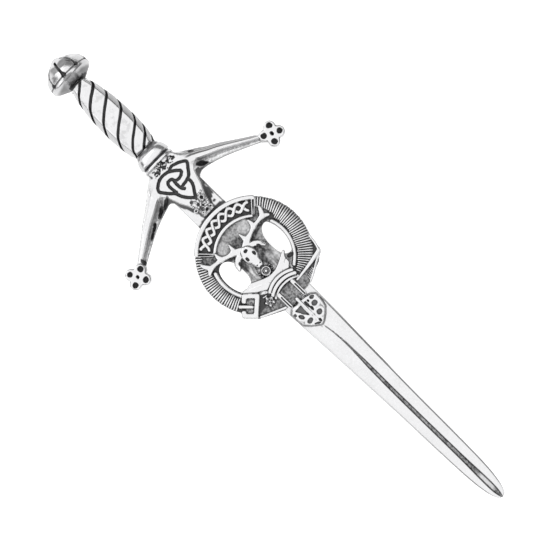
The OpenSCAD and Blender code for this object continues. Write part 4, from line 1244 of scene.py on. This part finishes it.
def wreath(field):
    """Curved wreath under the head, with leaves and a boss."""
    leaves(field)
    for low, half, high in WREATH_BARS:
        centre = (0, -(WREATH_CENTRE + low) * STRAP_IN)
        badge_arc(field, WREATH_BEND * STRAP_IN, 58, 122, half, Z_PLATE + high * HEAD_H, 7, centre, 0.0)
    dent(field, 0.63, -0.64, 0.72, 0.5, 0.8, 0.3)
    x, y, tall = STAG_X * STRAP_IN, BOSS_Y * STRAP_IN, Z_PLATE + 0.74 * HEAD_H
    badge_arc(field, BOSS_R, -180, 179.9, 0.2, Z_PLATE + 0.72 * HEAD_H, 3, (x, y), 0.03)
    knob = 0.045 * STRAP_IN
    badge_ridge(field, [[x, y, knob, tall], [x + 0.002 * STRAP_IN, y, knob, tall]], 7, 0.02)
    for angle in range(18, 378, 36):
        cos, sin = unit(angle)
        out = (BOSS_R + 0.42) / STRAP_IN
        if sin < 0.7:
            ball(field, STAG_X + out * cos, BOSS_Y + out * sin, (0.03, 0.03), 0.5, -0.1, 0.03)


def buckle(field):
    """Open buckle over the strap, and its prong."""
    cos, sin = unit(BUCKLE_TURN)
    for rows, half, up in ((BUCKLE_FRAME, 0.48, 0.42), (BUCKLE_PRONG, 0.34, 0.37)):
        placed = [[x * cos - y * sin, x * sin + y * cos, half, Z_RIM + up] for x, y in rows]
        badge_ridge(field, placed, 6, 0.02)


def lower_strap(field):
    """The plain strap with a rosette, the fold on the other side and the ends of the strap."""
    rim_ridges(field, LOWER_RIDGES)
    for k in range(6):
        x = 3.7 + 0.32 * k
        rows = [[x, -9.95 + 0.2 * k, 0.11, Z_RIM - 0.1], [x + 0.12, -9.0 + 0.12 * k, 0.11, Z_RIM - 0.1]]
        badge_ridge(field, rows, 3)
    for angle in range(20, 380, 72):
        x, y = (ROSETTE + 0.68 * unit(angle)) / STRAP_IN
        ball(field, x, y, (0.06, 0.06), 0.3, -0.05, 0.04)
    ball(field, *(ROSETTE / STRAP_IN), (0.045, 0.045), 0.34, -0.05, 0.03)


def tail(field):
    """The strap end that hangs on the blade, between two rails."""

    def form(x, y, z):
        y = y - Y_BADGE
        plan = np.maximum(np.abs(x - TAIL_X) - TAIL_HALF - 0.3, np.maximum(y - TAIL_TOP, TAIL_LOW - y))
        return slab(plan, z, BADGE_LOW[2], Z_PLATE + 0.27 + 0.05 * grain(x, y, 0.2, 44), 0.06)

    low, high = Y_BADGE + TAIL_LOW, Y_BADGE + TAIL_TOP
    field.join(form, 0.05, box_of((-3, 3), (low - 0.5, high + 0.5), (BADGE_LOW[2] - 0.3, Z_RIM + 1)))
    for x0 in (TAIL_X - TAIL_HALF, TAIL_X + TAIL_HALF):
        rows = [[x0, y, 0.42, Z_RIM + 0.3] for y in (TAIL_TOP - 0.35, TAIL_LOW + 0.15)]
        badge_ridge(field, rows, 6)

        def middle(x, y, z):
            return np.hypot(x - x0 + 0.05 * grain(x, y, 0.5, 46), np.maximum(y - high + 1, 0))

        box = box_of((x0 - 0.5, x0 + 0.5), (low, high), (Z_RIM, Z_RIM + 0.6))
        field.engrave(middle, 0.2, 0.16, box=box)


def chape_hollow(x, y):
    """Distance outside the hollows of the tip."""
    near = polygon_gap(x, y, CHAPE_WEDGE)
    for cx, cy, rx, ry, turn in CHAPE_HOLLOWS:
        cos, sin = unit(turn)
        u, v = (x - cx) * cos + (y - cy) * sin, (y - cy) * cos - (x - cx) * sin
        near = np.minimum(near, (np.hypot(u / rx, v / ry) - 1) * min(rx, ry))
    return near + 0.05 * grain(x, y, 0.35, 45)


def chape(field):
    """The pointed strap tip: a stem and loops that stand between hollows."""
    y_range = (Y_BADGE - 17.4, Y_BADGE - 10.3)
    box = box_of((-3.6, 3.4), y_range, (BADGE_LOW[2] - 0.3, Z_RIM + 0.5))

    def plate(x, y, z):
        return slab(polygon_gap(x, y - Y_BADGE, CHAPE_OUTLINE), z, BADGE_LOW[2], Z_PLATE, 0.08)

    def relief(x, y, z):
        return slab(polygon_gap(x, y - Y_BADGE, CHAPE_OUTLINE) + 0.3, z, BADGE_FOOT, Z_RIM, 0.14)

    def hollow(x, y, z):
        return np.maximum(chape_hollow(x, y - Y_BADGE), Z_PLATE + 0.12 - z)

    field.join(plate, 0.05, box)
    field.join(relief, 0.04, box)
    field.carve(hollow, 0.1, box)
    rim_ridges(field, CHAPE_STEM)


def tip_stain(x, y, z):
    y = y - Y_BADGE
    speckle = grain(x, y, 0.22, 43)
    between_rails = (np.abs(x - TAIL_X) < TAIL_HALF - 0.3) & (y > -10.9) & (z < Z_PLATE + 0.5)
    upper_end = 0.95 * step_up(y, TAIL_TOP - 0.4, TAIL_TOP - 0.2)
    ground = np.maximum(0.72 + 0.25 * speckle, upper_end) * between_rails
    holes, inner = chape_hollow(x, y), polygon_gap(x, y, CHAPE_OUTLINE) < -0.45
    in_holes = (y < -10.9) * (z < Z_RIM - 0.06) * 0.85 * within(holes, 0.06, 0.1)
    between = (y < -11.2) * (z < Z_RIM + 0.06) * inner * (0.55 + 0.3 * speckle) * step_up(holes, 0.34, 0.46)
    edge = (y < -11) * (z < Z_RIM - 0.2) * (0.6 + 0.2 * speckle)
    return np.maximum.reduce([ground, in_holes, between, edge])


def strap_tip(material):
    """The hanging strap end and its pointed tip."""
    field = Field(BADGE_LOW + (6.9, 0, 0), [3.3, Y_BADGE - 7.2, Z_RIM + 0.4], TIP_GRID)
    tail(field)
    chape(field)
    field.flat_back(BADGE_LOW[2], 0.1)
    return cast("strap_tip", "badge", field, tip_stain, material)


def shield_stain(x, y, speckle):
    """Darkness of the ground round the head and the antlers, with painted shadow under the antlers."""
    u, v = np.abs(x / STRAP_IN - STAG_X), y / STRAP_IN
    beside_head = spot(u, v, (0.3, -0.04), (0.12, 0.2))
    beam = np.array([[px * STRAP_IN, py * STRAP_IN, w * STRAP_IN, 0] for px, py, w, _ in ANTLER_BEAM])
    # Painted shadow on the ground under the antlers.
    under = within(path_gap(u * STRAP_IN, y + 0.7, beam)[0], 0.45, 0.2)
    streaks = 0.3 * grain(x, y * 0.25, 0.3, 47) * (v < 0.05)
    paler = 0.16 * step_up(-v, 0.1, 0.3) * step_up(u, 0.2, 0.3)
    between_antlers = 0.3 * spot(u, v, (0, 0.45), (0.26, 0.26)) - 0.22 * spot(u, v, (0.42, 0.68), (0.26, 0.2))
    rim = 0.2 * step_up(np.hypot(x, y), STRAP_IN - 0.8, STRAP_IN - 0.3) * (v > 0.4)
    ground = 0.6 + 0.2 * speckle + 0.35 * np.maximum(beside_head, under)
    return ground + streaks - paler + (between_antlers + rim)


def badge_stain(x, y, z, pits):
    y = y - Y_BADGE
    r, a = np.hypot(x, y), np.degrees(np.arctan2(y, x)) % 360
    low = step_up(Z_PLATE + 0.26 - z, 0, 0.14) * (z > Z_PLATE - 0.3)
    speckle = grain(x, y, 0.22, 43)
    from_top = np.abs(a - 90)
    in_band = (from_top < BAND_HALF) & (r > STRAP_IN) & (r < BADGE_R - 0.3)
    shield = (r < STRAP_IN + 0.1) & (y > -0.8 * STRAP_IN)
    ribbed = (r > STRAP_IN + 0.1) & (from_top >= BAND_HALF) & (y > -BADGE_R * 0.74)
    corner = ribbed & (r < STRAP_IN + 2) & (from_top < BAND_HALF + 19)
    strap = (y <= -BADGE_R * 0.6) & (r > STRAP_IN * 0.8)
    lip = (r < STRAP_IN + RAIL_OUT[-1] - 0.3) & (r > STRAP_IN - 0.3) & (x < -3) & (y > -5) & (y < 3)
    dark = np.where(in_band, 0.97, np.where(shield, shield_stain(x, y, speckle), 0))
    dark = np.maximum(dark, np.where(ribbed | lip, 0.95, 0))
    dark = np.where(corner, 0.82 + 0.25 * speckle, dark)
    dark = np.maximum(dark, np.where(strap, 0.74 + 0.25 * speckle, 0))
    cos, sin = unit(BUCKLE_TURN)
    window = (np.abs(x * cos + y * sin - 8.7) < 1.7) & (np.abs(y * cos - x * sin) < 1.3)
    dark = np.where(window, 0.66 + 0.3 * speckle, dark)
    from_centre = np.hypot(x, y + WREATH_CENTRE * STRAP_IN)
    for radius in WREATH_GAPS:
        line = 0.9 * within(np.abs(from_centre - radius * STRAP_IN), 0.13, 0.07) * (np.abs(x) < 2.6) * (y < 0)
        low = np.maximum(low, line)
        dark = np.where(line > 0, 0.95, dark)
    spots = 0
    for x0, y0, z0, rx, ry in pits:
        away = np.hypot((x - x0) / rx, (y + Y_BADGE - y0) / ry)
        spots = np.maximum(spots, 0.95 * within(away, 1.0, 0.25) * (z < z0 - 0.04) * (z > z0 - 0.84))
    return np.maximum(dark * low, spots)


def boss_bare(x, y, z):
    away = np.hypot(x - STAG_X * STRAP_IN, y - Y_BADGE - BOSS_Y * STRAP_IN)
    return np.maximum(within(away, 0.4, 0.12) * (z > Z_PLATE + 0.9), 0.75 * within(away, 0.62, 0.1))


def badge(material):
    """The pierced plate with the strap, the head, the wreath and the buckle."""
    field = Field(BADGE_LOW + (0, 5.6, 0), BADGE_HIGH, BADGE_GRID)
    field.join(plate_form, 0, (field.low, [11, 17, Z_PLATE + 0.5]))
    for part in (rails, band, lower_strap, stag, wreath, buckle):
        part(field)
    field.flat_back(BADGE_LOW[2], 0.1)

    def stain(x, y, z):
        return badge_stain(x, y, z, field.pits)

    return cast("badge_relief", "badge", field, stain, material, bare=boss_bare)


# Pin on the back

STEM_D, BAR_W, BAR_T = 1.2, 3.0, 0.55
JOINT_L, CATCH_L, CATCH_W = 3.6, 2.6, 4.2
PIN_REACH, POINT_L, SLOT_PLAY = 49, 4.5, 0.1
Y_JOINT = PIN_HIGH[1] - JOINT_L / 2
Y_CATCH = Y_JOINT - PIN_REACH
STEM_Z = 0.15 + STEM_D / 2


def pin_post(field, y0, width, length):
    """A round barrel, flat underneath, on a narrower web."""
    r, high = length / 2, PIN_HIGH[2]
    middle = r * 0.9

    def form(x, y, z):
        barrel = np.hypot(y - y0, z - middle) - r
        web = np.maximum(np.abs(y - y0) - length * 0.3, np.abs(z - (middle + high) / 2) - (high - middle) / 2)
        return soft_max(soft_max(soft_min(barrel, web, 0.3), np.abs(x) - width / 2, 0.2), -z, 0.05)

    field.join(form, 0.05, box_of((-width, width), (y0 - length, y0 + length), (-0.5, high + 0.5)))


def slot_form(x, y, z):
    half = STEM_D / 2 + SLOT_PLAY
    return np.maximum(np.maximum(np.abs(z - STEM_Z) - half, -half - x), np.abs(y - Y_CATCH) - 3)


def bar_form(x, y, z):
    plan = np.maximum(np.abs(x) - BAR_W / 2, np.abs(y - (Y_JOINT + Y_CATCH) / 2) - PIN_REACH / 2)
    return slab(plan, z, PIN_HIGH[2] - BAR_T, PIN_HIGH[2], 0.12)


def stem_form(x, y, z):
    shaft_end = Y_CATCH - POINT_L
    taper = 1 - 0.8 * np.clip((y - shaft_end) / (PIN_LOW[1] - shaft_end), 0, 1)
    side = np.hypot(x, z - STEM_Z) - STEM_D / 2 * taper
    return np.maximum(side, np.maximum(PIN_LOW[1] - y, y - Y_JOINT))


def back_pin(material):
    """The bar, its two posts and the stem."""
    field = Field(PIN_LOW, PIN_HIGH, PIN_GRID)
    pin_post(field, Y_JOINT, PIN_HIGH[0] * 2, JOINT_L)
    pin_post(field, Y_CATCH, CATCH_W, CATCH_L)
    field.carve(slot_form, 0.15, box_of((-1.5, 4), (Y_CATCH - 3, Y_CATCH + 3), (-0.5, 3)))
    bar_ends = (PIN_HIGH[2] - 1, PIN_HIGH[2] + 0.5)
    field.join(bar_form, 0.15, box_of((-2, 2), (Y_CATCH - 1, Y_JOINT + 1), bar_ends))
    field.join(stem_form, 0.05, box_of((-1, 1), (PIN_LOW[1] - 0.3, Y_JOINT + 0.3), (-0.3, 2)))
    return cast("pin_and_catch", "back_pin", field, lambda x, y, z: 0 * x, material, "pin_steel")


# Materials

# Colours of the metals where they are bright, and in their hollows and their painted shade
PEWTER, PEWTER_DARK = (0.5, 0.5, 0.505), (0.03, 0.03, 0.031)
STEEL, STEEL_DARK = (0.5, 0.5, 0.51), (0.05, 0.05, 0.05)
# How far the lines of grinding are drawn out along the pin
BLADE_STREAKS, PIN_STREAKS = (1, 0.06, 1), (1, 0.05, 1)


def add(tree, kind, **settings):
    """A new shader node. Settings name its own properties, or its inputs with spaces as underscores."""
    new = tree.nodes.new(kind)
    for key, value in settings.items():
        name = key.replace("_", " ")
        if name in new.inputs:
            new.inputs[name].default_value = value
        else:
            setattr(new, key, value)
    return new


class Wire:
    """An output of a shader node, for sums and products with other outputs and with numbers."""

    def __init__(self, tree, socket):
        self.tree, self.socket = tree, socket

    def into(self, socket):
        self.tree.links.new(self.socket, socket)

    def math(self, operation, a, b):
        new = add(self.tree, "ShaderNodeMath", operation=operation)
        for socket, value in zip(new.inputs, (a, b)):
            if isinstance(value, Wire):
                value.into(socket)
            else:
                socket.default_value = value
        return Wire(self.tree, new.outputs[0])

    def __add__(self, other):
        return self.math("ADD", self, other)

    def __sub__(self, other):
        return self.math("SUBTRACT", self, other)

    def __rsub__(self, other):
        return self.math("SUBTRACT", other, self)

    def __mul__(self, other):
        return self.math("MULTIPLY", self, other)

    def clamped(self):
        """The same output, kept from 0 to 1."""
        self.socket.node.use_clamp = True
        return self

    def mix(self, a, b):
        """The colour a where this is 0 and b where it is 1."""
        new = add(self.tree, "ShaderNodeMix", data_type="RGBA")
        self.into(new.inputs["Factor"])
        for socket, value in ((new.inputs[6], a), (new.inputs[7], b)):
            if isinstance(value, Wire):
                value.into(socket)
            else:
                socket.default_value = (*value, 1)
        return Wire(self.tree, new.outputs[2])


def noise(tree, per_mm, detail=3.0, stretch=None):
    """Noise with about that many grains in a millimetre."""
    place = Wire(tree, add(tree, "ShaderNodeTexCoord").outputs["Object"])
    if stretch:
        mapping = add(tree, "ShaderNodeMapping", Scale=stretch)
        place.into(mapping.inputs["Vector"])
        place = Wire(tree, mapping.outputs["Vector"])
    new = add(tree, "ShaderNodeTexNoise", Scale=per_mm / MM, Detail=detail)
    place.into(new.inputs["Vector"])
    return Wire(tree, new.outputs["Fac"])


def new_material(name):
    material = bpy.data.materials.new(name)
    material.use_nodes = True
    return material, material.node_tree, material.node_tree.nodes["Principled BSDF"].inputs


def metal(name, bright, dark, polish, streaks=None):
    """Cast metal: bright where it is rubbed, dark in its hollows and where shade is painted, with a fine
    uneven skin.
    """
    material, tree, shader = new_material(name)
    patina_and_shade, edge = (
        Wire(tree, add(tree, "ShaderNodeAttribute", attribute_name=layer).outputs["Fac"])
        for layer in ("patina_and_shade", "edge")
    )
    fine, coarse, cloudy = noise(tree, 5.0), noise(tree, 1.3, 4), noise(tree, 0.35, 2)
    wander = (coarse - 0.5) * 0.45
    # Darkness from the attribute layer: real patina in the hollows, and the painted shade laid into it.
    patina_and_shade_dark = (patina_and_shade + wander * (patina_and_shade * (1 - patina_and_shade) + 0.05)).clamped()
    patina_and_shade_dark = (patina_and_shade_dark - edge * 0.175).clamped()
    shade = cloudy * 0.5 + noise(tree, 2.6, 5) * 0.6
    tint = shade.mix(tuple(c * 1.1 for c in bright), tuple(c * 0.88 for c in bright))
    patina_and_shade_dark.mix(tint, dark).into(shader["Base Color"])
    (fine * 0.16 + (polish - 0.08) + patina_and_shade_dark * 0.34).clamped().into(shader["Roughness"])
    (1 - patina_and_shade_dark * 0.35).into(shader["Metallic"])
    skin = coarse * 0.8 + fine * 0.25
    if streaks:
        skin = skin + noise(tree, 4.0, 3, streaks) * 0.35
    bump = add(tree, "ShaderNodeBump", Strength=0.5, Distance=0.012 * MM)
    skin.into(bump.inputs["Height"])
    Wire(tree, bump.outputs["Normal"]).into(shader["Normal"])
    return material


def floor_material():
    """A pale table top with a soft glow, as a light table has."""
    material, tree, shader = new_material("pale_floor")
    noise(tree, 0.05, 2).mix((0.5, 0.5, 0.5), (0.52, 0.52, 0.52)).into(shader["Base Color"])
    shader["Roughness"].default_value = 0.7
    shader["Emission Color"].default_value = (1, 1, 1, 1)
    shader["Emission Strength"].default_value = 0.74
    return material


# Stage, in metres but for the view, which is in millimetres

LENS, SENSOR = 100, 36
FIELD_OF_VIEW = 94.6
VIEW_CENTRE = (0.04, 0.82)
VIEW_TURN = -45.88
FLOOR_REACH = 3.0
DAYLIGHT = 0.32
# Name, place, size, brightness as a white card shows it
LAMPS = [
    ["overhead", (-0.1, 0.17, 0.9), 1.75, 1.5],
    ["head", (-0.5, 1.4, 0.72), 1.2, 1.7],
    ["left", (-1.5, 0.2, 0.7), 1.0, 1.5],
    ["foot", (-0.15, -1.4, 1.0), 1.6, 1.15]
]


def camera():
    data = bpy.data.cameras.new("camera")
    data.lens, data.sensor_width = LENS, SENSOR
    data.clip_start = 0.01
    view = bpy.data.objects.new("camera", data)
    height = Z_BLADE + LENS * FIELD_OF_VIEW / SENSOR
    view.location = (VIEW_CENTRE[0] * MM, VIEW_CENTRE[1] * MM, height * MM)
    view.rotation_euler = (0, 0, math.radians(VIEW_TURN))
    bpy.context.scene.collection.objects.link(view)
    bpy.context.scene.camera = view


def softbox(name, place, size, radiance):
    """A square lamp that faces the pin."""
    data = bpy.data.lights.new(name, "AREA")
    data.shape, data.size = "SQUARE", size
    data.energy = radiance * math.pi * size * size
    lamp = bpy.data.objects.new(name, data)
    lamp.location = place
    lamp.rotation_euler = (-lamp.location.normalized()).to_track_quat("-Z", "Y").to_euler()
    bpy.context.scene.collection.objects.link(lamp)


def stage():
    mesh = bpy.data.meshes.new("floor")
    corners = [(x * FLOOR_REACH, y * FLOOR_REACH, 0) for x, y in ((-1, -1), (1, -1), (1, 1), (-1, 1))]
    mesh.from_pydata(corners, [], [(0, 1, 2, 3)])
    mesh.materials.append(floor_material())
    floor = bpy.data.objects.new("floor", mesh)
    bpy.context.scene.collection.objects.link(floor)
    for lamp in LAMPS:
        softbox(*lamp)
    world = bpy.data.worlds.new("studio")
    world.use_nodes = True
    background = world.node_tree.nodes["Background"].inputs
    background["Color"].default_value = (1, 1, 1, 1)
    background["Strength"].default_value = DAYLIGHT
    bpy.context.scene.world = world
    bpy.context.scene.view_settings.view_transform = "Standard"
    camera()


pewter = metal("antique_pewter", PEWTER, PEWTER_DARK, 0.24)
ground_pewter = metal("ground_pewter", PEWTER, PEWTER_DARK, 0.2, BLADE_STREAKS)
pin_steel = metal("pin_steel", STEEL, STEEL_DARK, 0.3, PIN_STREAKS)

pommel(pewter)
grip(pewter)
guard(pewter)
blade(ground_pewter)
badge(pewter)
strap_tip(pewter)
ribs(pewter)
back_pin(pin_steel)
stage()
